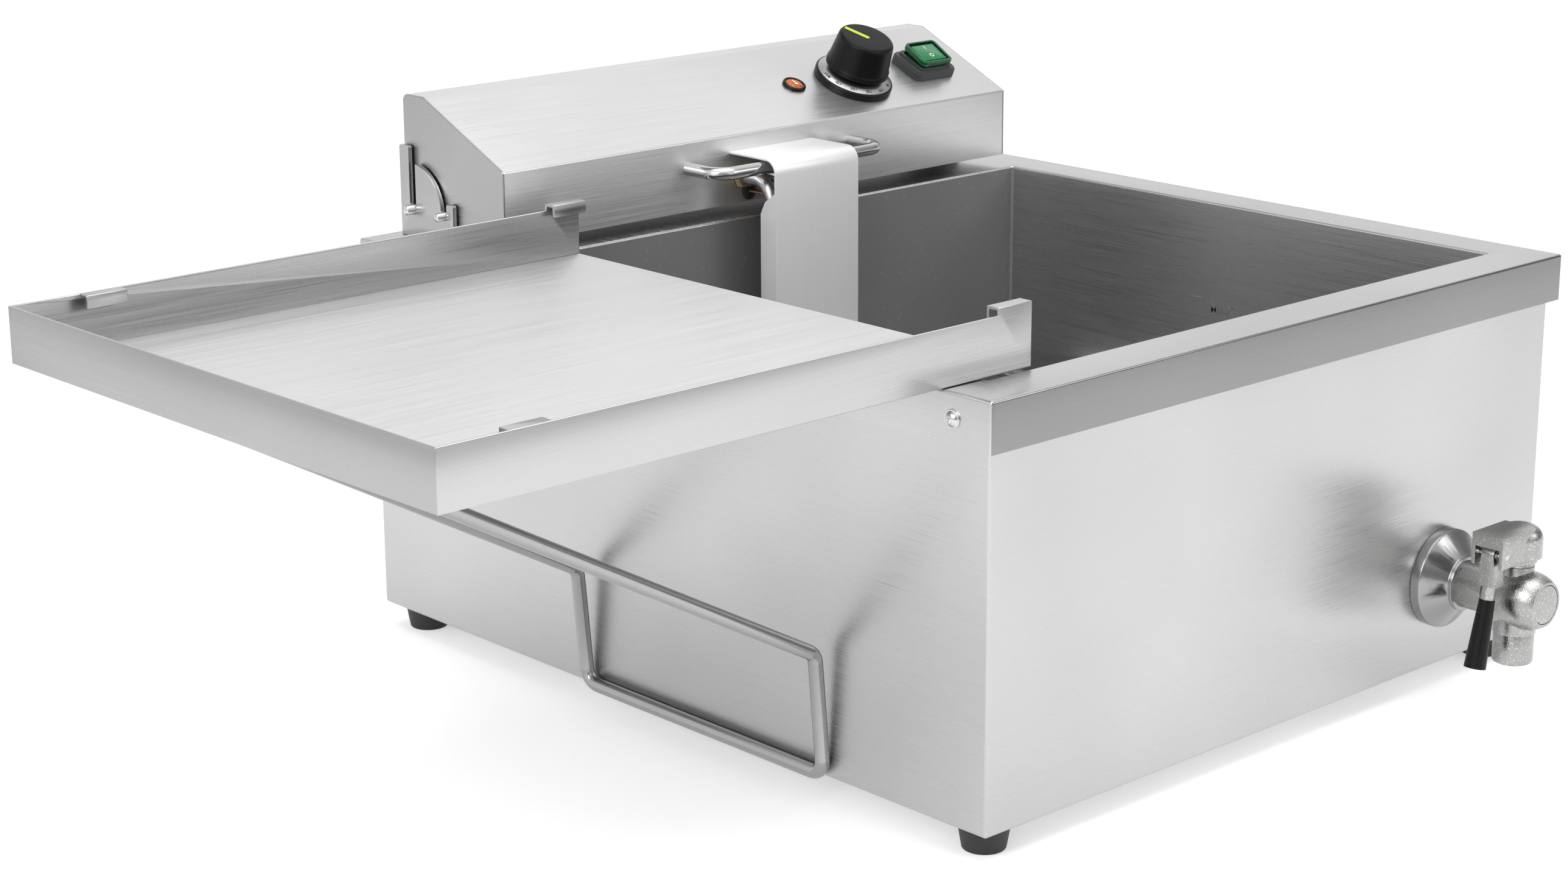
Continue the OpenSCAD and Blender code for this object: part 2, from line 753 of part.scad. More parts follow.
// Ball with an angled port: one way down to the spout, the other turned aside when shut
module valve_ball() {
  color("gainsboro") translate([valve_x, lever_y, foot_h + valve_z]) difference() {
    sphere(d = ball_d);
    translate([0, 0, -ball_d]) cylinder(d = port_bore, h = ball_d);
    rotate([0, 90, 0]) cylinder(d = port_bore, h = ball_d);
    sphere(d = port_bore);
  }
}

module valve_stem() {
  color("silver") translate([valve_x, lever_y, foot_h + valve_z]) difference() {
    cylinder(d = stem_d, h = lever_z - foot_h - valve_z + stem_in);
    sphere(d = ball_d);
  }
}

// ---------- valve lever ----------

stem_in = 12;
set_screw_z = 7;

// Origin of the lever: on the stem's axis at the underside of the lever's block
module at_lever() {
  translate([valve_x, lever_y, lever_z]) children();
}

lock_axis_x = -lever_l + 4.7;
lock_axis_z = slot_h - lock_l / 2 - 0.4;

// Set screw's line, from the stem out of the back of the block
module at_set_screw() {
  at_lever() translate([0, stem_d / 2, set_screw_z]) rotate([-90, 0, 0]) children();
}

// Block with a round end over the stem and a slot for the locking tab in its other end
module lever_head() {
  round_r = 8;
  color("lightgray") difference() {
    at_lever() difference() {
      union() {
        rotate_extrude() intersection() {
          union() {
            square([lever_r, lever_t - round_r]);
            translate([lever_r - round_r, lever_t - round_r]) circle(round_r);
            square([lever_r - round_r, lever_t]);
          }
          square([lever_r, lever_t]);
        }
        translate([-lever_l, -lever_w / 2, 0]) cube([lever_l, lever_w, lever_t]);
      }
      translate([-lever_l - 1, -slot_w / 2, -1]) cube([slot_l + 1, slot_w, slot_h + 1]);
      translate([lock_axis_x, -lever_w, lock_axis_z]) rotate([-90, 0, 0])
        cylinder(d = lock_pin_d, h = 2 * lever_w);
      translate([0, 0, -1]) cylinder(d = stem_d, h = stem_in + 1);
    }
    at_set_screw() cylinder(d = set_screw_d, h = lever_r);
  }
}

set_screw_d = 4;

module lever_set_screw() {
  length = lever_r - stem_d / 2 - 1;
  color("silver") at_set_screw() difference() {
    cylinder(d = set_screw_d, h = length);
    translate([0, 0, length - 2]) cylinder(d = 2, h = 3, $fn = 6);
  }
}

module lock_pin() {
  color("silver") at_lever() translate([lock_axis_x, -lever_w / 2, lock_axis_z])
    rotate([-90, 0, 0]) cylinder(d = lock_pin_d, h = lever_w);
}

// Tab that hangs from the lock pin, wider towards its end, with the ferrule for the grip
module lever_lock() {
  color("lightgray") at_lever() translate([lock_axis_x, 0, lock_axis_z]) difference() {
    union() {
      rotate([90, 0, 0]) cylinder(d = lock_l, h = lock_top_w, center = true);
      translate([-lock_l / 2, 0, 0]) rotate([90, 0, 90]) linear_extrude(lock_l) polygon([
        [-lock_top_w / 2, 0], [lock_top_w / 2, 0], [lock_end_w / 2, -lock_h],
        [-lock_end_w / 2, -lock_h]]);
      translate([0, 0, -lock_h + 1]) rotate([0, 180 + grip_lean, 0])
        cylinder(d = ferrule_d, h = ferrule_l + 1);
    }
    rotate([90, 0, 0]) cylinder(d = lock_pin_d + 2 * fit, h = 2 * lock_l, center = true);
  }
}

// Fluted black grip, thicker towards its end
module lever_grip() {
  flute_in = 0.75;
  color("black") at_lever() translate([lock_axis_x, 0, lock_axis_z - lock_h + 1])
    rotate([0, 180 + grip_lean, 0]) translate([0, 0, ferrule_l + 1]) difference() {
      cylinder(d1 = grip_top_d, d2 = grip_end_d, h = grip_l);
      for (a = [0 : 30 : 330]) rotate([0, 0, a])
        translate([grip_top_d / 2 + flute_in, 0, 1])
          rotate([0, atan((grip_end_d - grip_top_d) / 2 / grip_l), 0])
            cylinder(d = 1.6, h = grip_l - 3, $fn = 16);
    }
}

// ---------- control head ----------

// Side view of the head, shrunk by inset on every side, as Y and Z
module head_profile(inset = 0) {
  r = head_r - inset;
  back = head_back_y - inset;
  top = head_z + head_h - inset;
  difference() {
    offset(delta = -inset) polygon([
      [head_front_y, head_z], [head_front_y, head_z + head_front_h],
      [head_front_y + slope_dy, head_z + head_h], [head_back_y, head_z + head_h],
      [head_back_y, head_z]]);
    difference() {
      translate([back - r, top - r]) square(r + 1);
      translate([back - r, top - r]) circle(r);
    }
  }
}

module along_head(w) {
  translate([-w / 2, 0, 0]) rotate([90, 0, 90]) linear_extrude(w) children();
}

element_xs = [element_gap / 2, element_gap / 2 + element_leg_gap];
element_out_z = rim_z + 24;
grommet_x = -19;
grommet_z = head_z + head_t + 5.8;
element_hole_d = 12;

module at_element_tubes() {
  for (side = [-1, 1], x = element_xs)
    translate([side * x, head_front_y, element_out_z]) rotate([90, 0, 0]) children();
}

module at_handle_legs() {
  for (side = [-1, 1])
    translate([side * handle_w / 2, head_front_y, rim_z + handle_z]) rotate([90, 0, 0]) children();
}

// Folded wrap: front panel, slope and top
module head_shell() {
  color("silver") difference() {
    along_head(head_w - 2 * head_t) difference() {
      head_profile();
      head_profile(head_t);
      translate([head_front_y + head_t, head_z - 1]) square([head_d, head_t + 1]);
      translate([head_back_y - head_t, head_z - 1]) square([head_t + 1, head_h - head_r + 1]);
    }
    on_slope(lamp_x) translate([0, 0, -5]) cylinder(d = 10, h = 10);
    on_slope(knob_x, knob_s) translate([0, 0, -5]) cylinder(d = 10, h = 10);
    on_slope(switch_x, switch_s) linear_extrude(10, center = true) rounded_rect(switch_hole_w, switch_hole_l, 1);
    at_element_tubes() translate([0, 0, -5]) cylinder(d = element_hole_d, h = 10);
    translate([grommet_x, head_front_y + 5, grommet_z]) rotate([90, 0, 0]) cylinder(d = 10, h = 10);
    at_handle_legs() translate([0, 0, -5]) cylinder(d = 5, h = 10);
  }
}

// End plates, each with a lip folded in behind for the back cover
module head_ends() {
  color("silver") for (side = [-1, 1]) difference() {
    union() {
      translate([side * (head_w - head_t) / 2, 0, 0]) along_head(head_t) head_profile();
      translate([side * (head_w - head_t - head_lip) / 2 - head_lip / 2 - head_t / 2,
                 head_back_y - 2 * head_t, head_z + head_t])
        cube([head_lip + head_t, head_t, head_h - head_r - head_t]);
    }
    at_pins() translate([0, 0, -10]) cylinder(d = $pin_d, h = 20);
    at_cover_screws() translate([0, 0, -5]) cylinder(d = 3, h = 10);
  }
}

module head_base() {
  color("silver") translate([-head_w / 2 + head_t, head_front_y + head_t, head_z])
    cube([head_w - 2 * head_t, head_d - head_t - head_t, head_t]);
}

// Lines of the back cover's screws
module at_cover_screws() {
  for (side = [-1, 1], z = [head_z + head_lip / 2, head_z + head_h - head_r - head_lip / 2])
    translate([side * (head_w / 2 - head_t - head_lip / 2), head_back_y, z])
      rotate([-90, 0, 0]) children();
}

gland_x = -head_w / 2 + gland_in;

module head_back_cover() {
  color("silver") difference() {
    translate([-head_w / 2 + head_t, head_back_y - head_t, head_z])
      cube([head_w - 2 * head_t, head_t, head_h - head_r]);
    at_cover_screws() translate([0, 0, -5]) cylinder(d = 3, h = 10);
    translate([gland_x, head_back_y - 5, head_z + gland_up]) rotate([-90, 0, 0])
      cylinder(d = 12, h = 10);
  }
}

module cover_screws() {
  color("silver") at_cover_screws() {
    translate([0, 0, -head_t - 5]) cylinder(d = 3, h = head_t + 5);
    difference() {
      cylinder(d = 6, h = 1.6);
      translate([0, 0, 0.8]) cylinder(d = 2, h = 2, $fn = 6);
    }
  }
}

// Both pins of both ends, with Z pointing out of the head's side
module at_pins() {
  for (side = [-1, 1]) {
    translate([side * head_w / 2, pivot_y, pivot_z]) rotate([0, side * 90, 0]) {
      $pin_d = pivot_pin_d;
      children();
    }
    translate([side * head_w / 2, pivot_y - guide_r, pivot_z]) rotate([0, side * 90, 0]) {
      $pin_d = guide_pin_d;
      children();
    }
  }
}

module hinge_pins() {
  inside = 6;
  color("silver") at_pins() {
    translate([0, 0, -inside]) cylinder(d = $pin_d, h = inside + hinge_gap + hinge_t + pin_out - 0.6);
    translate([0, 0, hinge_gap + hinge_t + pin_out - 0.6])
      cylinder(d1 = $pin_d, d2 = $pin_d - 1.2, h = 0.6);
    translate([0, 0, -head_t - 3]) tube($pin_d + 5, $pin_d, 3);
  }
}

// ---------- handle, element guard and elements ----------

module front_handle() {
  bend = 12;
  z = rim_z + handle_z;
  x = handle_w / 2;
  color("gainsboro") {
    bent_rod([[-x, head_front_y, z], [-x, head_front_y - handle_out, z],
              [x, head_front_y - handle_out, z], [x, head_front_y, z]], bend, handle_d);
    at_handle_legs() translate([0, 0, -head_t - 6]) cylinder(d = 5, h = head_t + 6);
  }
}

module handle_nuts() {
  color("gray") at_handle_legs() translate([0, 0, -head_t - 4]) nut(8, 5, 4);
}

guard_top_z = rim_z + 40;

// Folded channel: a top plate on the front panel and a long front plate with folded sides
module element_guard() {
  low_z = tank_floor_z + element_z + element_d / 2 + 4;
  front = guard_front_y;
  color("silver") {
    along_head(guard_w) difference() {
      union() {
        translate([front + guard_r, guard_top_z - guard_t]) square([guard_out - guard_r, guard_t]);
        translate([front, low_z]) square([guard_t, guard_top_z - guard_r - low_z]);
        translate([front + guard_r, guard_top_z - guard_r]) intersection() {
          difference() {
            circle(guard_r);
            circle(guard_r - guard_t);
          }
          translate([-guard_r, 0]) square(guard_r);
        }
      }
    }
    for (side = [-1, 1])
      translate([side * (guard_w - guard_t) / 2 - guard_t / 2, 0, 0]) rotate([90, 0, 90])
        linear_extrude(guard_t) polygon([
          [front + guard_t, low_z], [front + guard_side, low_z],
          [front + guard_side, rim_z + guard_side_z - 8], [front + guard_side - 4, rim_z + guard_side_z],
          [front + guard_t, rim_z + guard_side_z + 6]]);
  }
}

// One tube element on the right of the middle: out of the head, down behind the guard,
// forward and back in three long loops, across, and up into the head again
module element_loop() {
  riser_y = guard_front_y + element_back;
  run_z = tank_floor_z + element_z;
  front = tank_front_y + element_front;
  turn_y = riser_y - 44;
  start = head_front_y + 12;
  xs = [for (k = [0 : 3]) element_xs[0] + k * element_pitch];
  u = element_pitch / 2 - eps;
  b = element_bend;
  leg_x = element_xs[1];
  bent_rod([
    [xs[0], start, element_out_z], [xs[0], riser_y, element_out_z], [xs[0], riser_y, run_z],
    [xs[0], front, run_z], [xs[1], front, run_z], [xs[1], turn_y, run_z], [xs[2], turn_y, run_z],
    [xs[2], front, run_z], [xs[3], front, run_z], [xs[3], riser_y, run_z],
    [leg_x, riser_y, run_z], [leg_x, riser_y, element_out_z], [leg_x, start, element_out_z]],
    [b, b, u, u, u, u, u, u, b, b, b], element_d);
}

module heating_elements() {
  color("gainsboro") {
    element_loop();
    mirror([1, 0, 0]) element_loop();
  }
}

module element_nuts() {
  color("goldenrod") at_element_tubes() {
    tube(14, element_d, 2);
    translate([0, 0, 2]) nut(12, element_d, 5);
    translate([0, 0, -head_t]) tube(element_hole_d, element_d, head_t);
    translate([0, 0, -head_t - 3]) tube(13, element_d, 3);
  }
}

strap_ys = [tank_front_y + element_front + strap_in,
            tank_front_y + element_front + strap_in + strap_gap];
strap_z = tank_floor_z + element_z + element_d / 2 + 0.1;

// Flat straps across all runs, with a leg at each end that keeps the elements off the floor
module element_straps() {
  half = element_xs[0] + 3 * element_pitch + element_d / 2 + 3;
  foot_z = tank_floor_z + 2;
  color("silver") for (y = strap_ys) {
    translate([-half, y - strap_w / 2, strap_z]) cube([2 * half, strap_w, strap_t]);
    for (side = [-1, 1])
      translate([side > 0 ? half - strap_t : -half, y - strap_w / 2, foot_z])
        cube([strap_t, strap_w, strap_z - foot_z]);
  }
}

bulb_end_y = strap_ys[1] + bulb_past;
bulb_tip = 4;
bulb_z = strap_z + strap_t + bulb_d / 2 + 0.1;

module thermostat_bulbs() {
  color("goldenrod") for (side = [-1, 1])
    translate([side * bulb_x, bulb_end_y - bulb_l, bulb_z]) rotate([-90, 0, 0]) {
      cylinder(d = bulb_d, h = bulb_l);
      translate([0, 0, bulb_l]) cylinder(d1 = bulb_d, d2 = capillary_d, h = bulb_tip);
    }
}

// Thin capillaries from the bulbs, back over the floor, up behind the risers and through
// the grommet
module capillaries() {
  bend = 4;
  capillary_in = 9;
  color("peru") for (side = [-1, 1]) {
    x = grommet_x + side * capillary_d;
    y = tank_back_y - capillary_in + side * 1.5;
    bent_rod([[side * bulb_x, bulb_end_y + bulb_tip, bulb_z], [side * bulb_x, y, bulb_z],
              [x, y, bulb_z + 12],
              [x, y, grommet_z], [x, head_front_y + 12, grommet_z]], bend, capillary_d);
  }
}

module capillary_grommet() {
  color("black") translate([grommet_x, head_front_y, grommet_z]) rotate([90, 0, 0]) difference() {
    union() {
      rotate_extrude() intersection() {
        translate([0, -6.2]) circle(r = 9);
        square([6, 3]);
      }
      translate([0, 0, -head_t]) cylinder(d = 10, h = head_t + eps);
      translate([0, 0, -head_t - 2]) cylinder(d = 11, h = 2);
    }
    for (side = [-1, 1])
      translate([side * capillary_d, 0, -10]) cylinder(d = capillary_d, h = 20);
  }
}

// ---------- controls ----------

module lamp_bezel() {
  color("black") on_slope(lamp_x) difference() {
    union() {
      rotate_extrude() polygon([
        [0, 0], [lamp_d / 2, 0], [lamp_d / 2, 1], [lamp_d / 2 - 0.8, 2], [0, 2]]);
      translate([0, 0, -head_t]) cylinder(d = 10, h = head_t + eps);
    }
    translate([0, 0, -5]) cylinder(d = 8.6, h = 10);
    translate([0, 0, 1]) cylinder(d = lamp_d - 3.6, h = 10);
  }
}

module lamp_lens() {
  color("darkorange") on_slope(lamp_x) {
    translate([0, 0, 1]) cylinder(d = lamp_d - 3.6, h = 1);
    translate([0, 0, 2]) rotate_extrude() intersection() {
      translate([0, -14.2]) circle(r = 15.3);
      square([lamp_d / 2 - 1.8, 3]);
    }
    translate([0, 0, -3]) cylinder(d = 8.6, h = 4);
  }
}

module lamp_body() {
  color("white") on_slope(lamp_x) {
    translate([0, 0, -head_t - 3]) tube(13, 8.6, 3);
    translate([0, 0, -22]) cylinder(d = 8.6, h = 19);
    for (side = [-1, 1])
      translate([side * 2.5 - 1.4, -0.4, -29]) cube([2.8, 0.8, 7]);
  }
}

ring_out_r = dial_d / 2 - 1.2;
ring_in_r = knob_d / 2 - 1.5;
ring_seat = 0.5;

module dial_flange() {
  color("black") on_slope(knob_x, knob_s) difference() {
    rotate_extrude() polygon([
      [shaft_d / 2 + 1, 0], [dial_d / 2 - 0.8, 0], [dial_d / 2, 0.8], [dial_d / 2, dial_t - 1.2],
      [dial_d / 2 - 1.2, dial_t], [shaft_d / 2 + 1, dial_t]]);
    translate([0, 0, dial_t - ring_seat]) tube(2 * ring_out_r, 2 * ring_in_r, 1);
  }
}

// Number ring, which rises towards the knob
module dial_ring() {
  low = dial_t - ring_seat;
  color("lightgray") on_slope(knob_x, knob_s) rotate_extrude() polygon([
    [ring_in_r, low], [ring_out_r, low], [ring_out_r, dial_t + 0.1], [ring_in_r, dial_t + ring_rise]]);
}

module thermostat_body() {
  color("white") on_slope(knob_x, knob_s) {
    translate([0, 0, -head_t - 24]) difference() {
      translate([-20, -14, 0]) cube([40, 28, 24]);
      translate([0, 0, 12]) cylinder(d = shaft_d + 2 * fit, h = 20);
    }
    translate([0, 0, -head_t]) tube(10, shaft_d + 2 * fit, head_t);
    for (side = [-1, 1])
      translate([side * 12 - 3, -0.4, -head_t - 31]) cube([6, 0.8, 7]);
  }
}

module safety_cutout() {
  cut_z = head_z + head_t;
  color("white") translate([-head_w / 2 + cutout_in, head_front_y + 40, cut_z]) {
    difference() {
      translate([-17, -14, 0]) cube([34, 28, 26]);
      translate([0, 0, 20]) cylinder(d = 4, h = 20);
    }
    translate([0, 0, 20]) cylinder(d = 4, h = 10);
    for (side = [-1, 1])
      translate([side * 17 - (side > 0 ? 0 : 7), -3, 12]) cube([7, 6, 0.8]);
  }
}

// Cable clamp with four poles, on the base of the head
module terminal_block() {
  pole = 12;
  color("ivory") translate([-head_w / 2 + terminal_in, head_front_y + 55, head_z + head_t]) difference() {
    cube([4 * pole, 20, 16]);
    for (i = [0 : 3]) {
      translate([(i + 0.5) * pole, -1, 7]) rotate([-90, 0, 0]) cylinder(d = 5, h = 22);
      for (y = [5, 15])
        translate([(i + 0.5) * pole, y, 8]) cylinder(d = 4, h = 10);
    }
  }
}

module cable_gland() {
  color("dimgray") translate([gland_x, head_back_y, head_z + gland_up]) rotate([-90, 0, 0])
    difference() {
      union() {
        cylinder(d = 19 / cos(30), h = 4, $fn = 6);
        translate([0, 0, 4]) cylinder(d = 16, h = gland_out - 6);
        translate([0, 0, gland_out - 2]) cylinder(d1 = 16, d2 = 12, h = 2);
        translate([0, 0, -head_t - 5]) cylinder(d = 12, h = head_t + 5);
        translate([0, 0, -head_t - 5]) cylinder(d = 16 / cos(30), h = 5, $fn = 6);
      }
      translate([0, 0, -20]) cylinder(d = 8, h = 50);
    }
}

knob_low = dial_t + ring_rise + knob_gap;
knob_base_h = 4;
knob_hollow_z = knob_low + knob_base_h + 8;

module thermostat_shaft() {
  color("silver") on_slope(knob_x, knob_s) difference() {
    translate([0, 0, -head_t - 10]) cylinder(d = shaft_d, h = head_t + 10 + knob_hollow_z);
    translate([1.5, -shaft_d, knob_low]) cube([shaft_d, 2 * shaft_d, 20]);
  }
}

// Knob with a lower step, hollow underneath, with a hub on the flatted shaft
module knob() {
  low = knob_low;
  color("#202020") on_slope(knob_x, knob_s) difference() {
    rotate_extrude() difference() {
      union() {
        polygon([
          [0, low], [knob_d / 2, low], [knob_d / 2, low + knob_base_h - 1],
          [knob_d / 2 - 0.6, low + knob_base_h], [knob_top_d / 2 + 0.4, knob_h - 3], [0, knob_h - 3]]);
        square([knob_top_d / 2 - 2.6, knob_h]);
        translate([knob_top_d / 2 - 2.6, knob_h - 3]) circle(3);
      }
      square([knob_d, low]);
      square([knob_d / 2 - 2.5, knob_hollow_z]);
    }
    on_knob_top() linear_extrude(2) pointer_outline();
  }
  color("#202020") on_slope(knob_x, knob_s) translate([0, 0, low + 1])
    linear_extrude(knob_hollow_z - low - 1 + eps) difference() {
      circle(d = 12);
      difference() {
        circle(d = shaft_d);
        translate([1.5, -shaft_d]) square([shaft_d, 2 * shaft_d]);
      }
    }
}

pointer_w = 3.2;

module on_knob_top() {
  translate([0, 0, knob_h - 0.4]) rotate([0, 0, pointer_a]) children();
}

// Bar from the middle of the knob's top to its edge, round at the inner end
module pointer_outline() {
  circle(d = pointer_w);
  translate([0, -pointer_w / 2]) square([knob_top_d / 2 - 2.6, pointer_w]);
}

module knob_pointer() {
  color("yellowgreen") on_slope(knob_x, knob_s) on_knob_top() linear_extrude(0.5) pointer_outline();
}

rocker_axis_h = 4;
switch_hole_w = 28;
switch_hole_l = 22;
pocket_w = 24.6;
pocket_l = 20;
pocket_z = 2;
stem_w = 20;
stem_l = 16;
socket_in = 1.5;
trunnion_r = rocker_axis_h - pocket_z - seat;

// Boot: a broad base with a collar, whose side walls have a socket for each trunnion
module switch_boot() {
  color("#2c3130") on_slope(switch_x, switch_s) difference() {
    union() {
      linear_extrude(boot_t - 1) rounded_rect(boot_w, boot_l, 5);
      translate([0, 0, boot_t - 1]) linear_extrude(1) rounded_rect(boot_w - 1.6, boot_l - 1.6, 4.2);
      translate([0, 0, boot_t]) linear_extrude(collar_h) rounded_rect(collar_w, collar_l, 3);
      translate([0, 0, -head_t]) linear_extrude(head_t) rounded_rect(switch_hole_w, switch_hole_l, 1);
    }
    translate([0, 0, pocket_z]) linear_extrude(boot_t + collar_h) rounded_rect(pocket_w, pocket_l, 2);
    translate([0, 0, rocker_axis_h]) rotate([0, 90, 0])
      cylinder(r = trunnion_r + fit, h = pocket_w + 2 * socket_in, center = true);
  }
}

module switch_body() {
  color("black") on_slope(switch_x, switch_s) {
    translate([0, 0, -head_t - 26]) linear_extrude(26) rounded_rect(switch_hole_w - 1, switch_hole_l - 1, 1);
    for (x = [-7, 7], y = [-5, 5])
      translate([x - 3, y - 0.4, -head_t - 33]) cube([6, 0.8, 7]);
  }
}

// Rocker on two round trunnions, with a hollowed face, pressed on its lower half
module rocker() {
  face_r = 75;
  lip = 1.6;
  color("seagreen") on_slope(switch_x, switch_s) translate([0, 0, rocker_axis_h]) rotate([rocker_tilt, 0, 0])
    translate([0, 0, -rocker_axis_h]) {
      difference() {
        union() {
          translate([0, 0, rocker_h - rocker_t]) linear_extrude(rocker_t - 1)
            rounded_rect(rocker_w, rocker_l, 2.5);
          translate([0, 0, rocker_h - 1]) linear_extrude(1)
            rounded_rect(rocker_w - 1.4, rocker_l - 1.4, 1.8);
          translate([0, 0, rocker_axis_h]) linear_extrude(rocker_h - rocker_t - rocker_axis_h + eps)
            rounded_rect(stem_w, stem_l, 1.8);
        }
        intersection() {
          translate([0, 0, rocker_h + face_r - 1]) rotate([0, 90, 0])
            cylinder(r = face_r, h = rocker_w, center = true, $fn = 96);
          translate([0, 0, rocker_h - 5]) linear_extrude(10)
            rounded_rect(rocker_w - 2 * lip, rocker_l - 2 * lip, 1.5);
        }
      }
      translate([0, 0, rocker_axis_h]) rotate([0, 90, 0])
        cylinder(r = trunnion_r, h = pocket_w + 2 * socket_in - 2 * seat, center = true);
    }
}

// ---------- draining tray and brace ----------

tray_z = rim_z + tray_seat;
tray_in_x = -side_x + tray_reach;
tray_front_y = front_y + tray_front;
tray_back_y = tray_front_y + tray_w;

// Folded lug at the top of a long wall; side is 1 for the front wall and -1 for the back
module rack_lug(x, side, top) {
  y = side > 0 ? tray_front_y + tray_t : tray_back_y - tray_t - lug_in;
  translate([x, y, tray_z + top - 9]) {
    translate([0, 0, 9 - tray_t]) cube([lug_l, lug_in, tray_t]);
    translate([0, side > 0 ? lug_in - tray_t : 0, 2]) cube([lug_l, tray_t, 7]);
  }
}

module tray() {
  color("whitesmoke") {
    translate([tray_out_x, tray_front_y, tray_z]) cube([tray_l, tray_w, tray_t]);
    translate([tray_out_x, tray_front_y, tray_z]) cube([tray_t, tray_w, tray_h]);
    for (y = [tray_front_y, tray_back_y - tray_t]) {
      translate([tray_out_x, y, tray_z]) cube([tray_l, tray_t, tray_h]);
      translate([tray_in_x - lug_l, y, tray_z]) cube([lug_l, tray_t, tray_h + ear_h]);
    }
    for (side = [-1, 1]) {
      rack_lug(tray_out_x + 40, side, tray_h);
      rack_lug(tray_in_x - lug_l, side, tray_h + ear_h);
    }
  }
}

brace_x = tray_out_x + brace_hinge_in;
brace_z = tray_z - brace_d / 2 - 1;
brace_y1 = front_y + brace_front;
brace_y2 = brace_y1 + brace_w;
brace_low_x = -side_x - seat - brace_d / 2;

brace_bend = 9;
eyelet_gap = brace_bend + 1;

// Eyelets under the tray: a folded tab round each end of the brace
module brace_eyelets() {
  wall = 1.5;
  top = brace_d / 2 + 1;
  color("silver") for (y = [brace_y1 - eyelet_gap - eyelet_l, brace_y2 + eyelet_gap])
    translate([brace_x, y, brace_z]) rotate([90, 0, 180]) linear_extrude(eyelet_l) difference() {
      union() {
        intersection() {
          circle(d = brace_d + 2 * wall);
          translate([-brace_d, -brace_d]) square([2 * brace_d, brace_d + top]);
        }
        translate([-brace_d / 2 - wall, 0]) square([brace_d + 2 * wall, top]);
      }
      circle(d = brace_d + 2 * fit);
    }
}

// One rod: hinge end, strut down to the wall, leg, bottom rod, and the same back up
module wire_brace() {
  bend_x = brace_low_x - brace_lean;
  past = eyelet_gap + eyelet_l + 1;
  color("gainsboro") bent_rod([
    [brace_x, brace_y1 - past, brace_z], [brace_x, brace_y1, brace_z],
    [bend_x, brace_y1, foot_h + brace_bend_z], [brace_low_x, brace_y1, foot_h + brace_low_z],
    [brace_low_x, brace_y2, foot_h + brace_low_z], [bend_x, brace_y2, foot_h + brace_bend_z],
    [brace_x, brace_y2, brace_z], [brace_x, brace_y2 + past, brace_z]], brace_bend, brace_d);
}

// ---------- the object over its origin ----------

module placed() {
  translate([-origin_x, -origin_y, 0]) children();
}

placed() casing();
placed() base_plate();
placed() feet();
placed() foot_screws();
placed() oil_tank();
placed() tank_rim();
placed() tank_screws();
placed() hinge_plates();
placed() drain_pipe();
placed() drain_nut();
placed() valve_flange();
placed() valve_body();
placed() valve_spout();
placed() valve_end_cap();
placed() valve_seats();
placed() valve_gland();
placed() valve_ball();
placed() valve_stem();
placed() lever_head();
placed() lever_set_screw();
placed() lock_pin();
placed() lever_lock();
placed() lever_grip();
placed() head_shell();
placed() head_ends();
placed() head_base();
placed() head_back_cover();
placed() cover_screws();
placed() hinge_pins();
placed() front_handle();
placed() handle_nuts();
placed() element_guard();
placed() heating_elements();
placed() element_nuts();
placed() element_straps();
placed() thermostat_bulbs();
placed() capillaries();
placed() capillary_grommet();
placed() lamp_bezel();
placed() lamp_lens();
placed() lamp_body();
placed() dial_flange();
placed() dial_ring();
placed() thermostat_body();
placed() safety_cutout();
placed() switch_boot();
placed() switch_body();
placed() terminal_block();
placed() cable_gland();
placed() thermostat_shaft();
placed() knob();
placed() knob_pointer();
placed() rocker();
placed() tray();
placed() brace_eyelets();
placed() wire_brace();
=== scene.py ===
"""Looks of a countertop donut fryer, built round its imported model, piece by piece."""
import math

import bmesh
import bpy
from mathutils import Matrix, Quaternion, Vector


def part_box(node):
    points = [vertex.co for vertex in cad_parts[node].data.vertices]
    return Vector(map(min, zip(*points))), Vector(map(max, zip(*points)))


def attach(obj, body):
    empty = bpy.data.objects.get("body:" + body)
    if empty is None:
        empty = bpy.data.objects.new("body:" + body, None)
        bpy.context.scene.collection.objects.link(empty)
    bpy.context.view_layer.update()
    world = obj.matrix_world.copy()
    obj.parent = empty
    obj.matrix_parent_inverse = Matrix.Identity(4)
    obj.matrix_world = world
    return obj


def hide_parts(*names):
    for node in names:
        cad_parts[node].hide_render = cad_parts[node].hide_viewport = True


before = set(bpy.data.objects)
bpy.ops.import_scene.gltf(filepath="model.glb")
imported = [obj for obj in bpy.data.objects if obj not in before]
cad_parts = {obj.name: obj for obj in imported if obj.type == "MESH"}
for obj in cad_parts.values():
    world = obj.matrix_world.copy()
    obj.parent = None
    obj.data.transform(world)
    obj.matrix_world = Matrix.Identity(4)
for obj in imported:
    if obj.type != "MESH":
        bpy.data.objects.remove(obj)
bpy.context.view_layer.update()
MM = 0.001

# ---- The camera looks over the tray's near corner, a little down on the fryer. Its place
# is given from the middle of the casing on the table.
CASING_LO, CASING_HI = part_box("casing")
CENTRE = Vector(((CASING_LO.x + CASING_HI.x) / 2, (CASING_LO.y + CASING_HI.y) / 2, 0))
SENSOR, LENS = 36, 70.9
CAMERA_PLACE = Vector((-1283.1, -1248.5, 631.3))
AZIMUTH, ELEVATION, ROLL = map(math.radians, (-42.604, 15.777, -0.27))


def scene_object(name, data):
    """A new object in the scene."""
    obj = bpy.data.objects.new(name, data)
    bpy.context.scene.collection.objects.link(obj)
    return obj


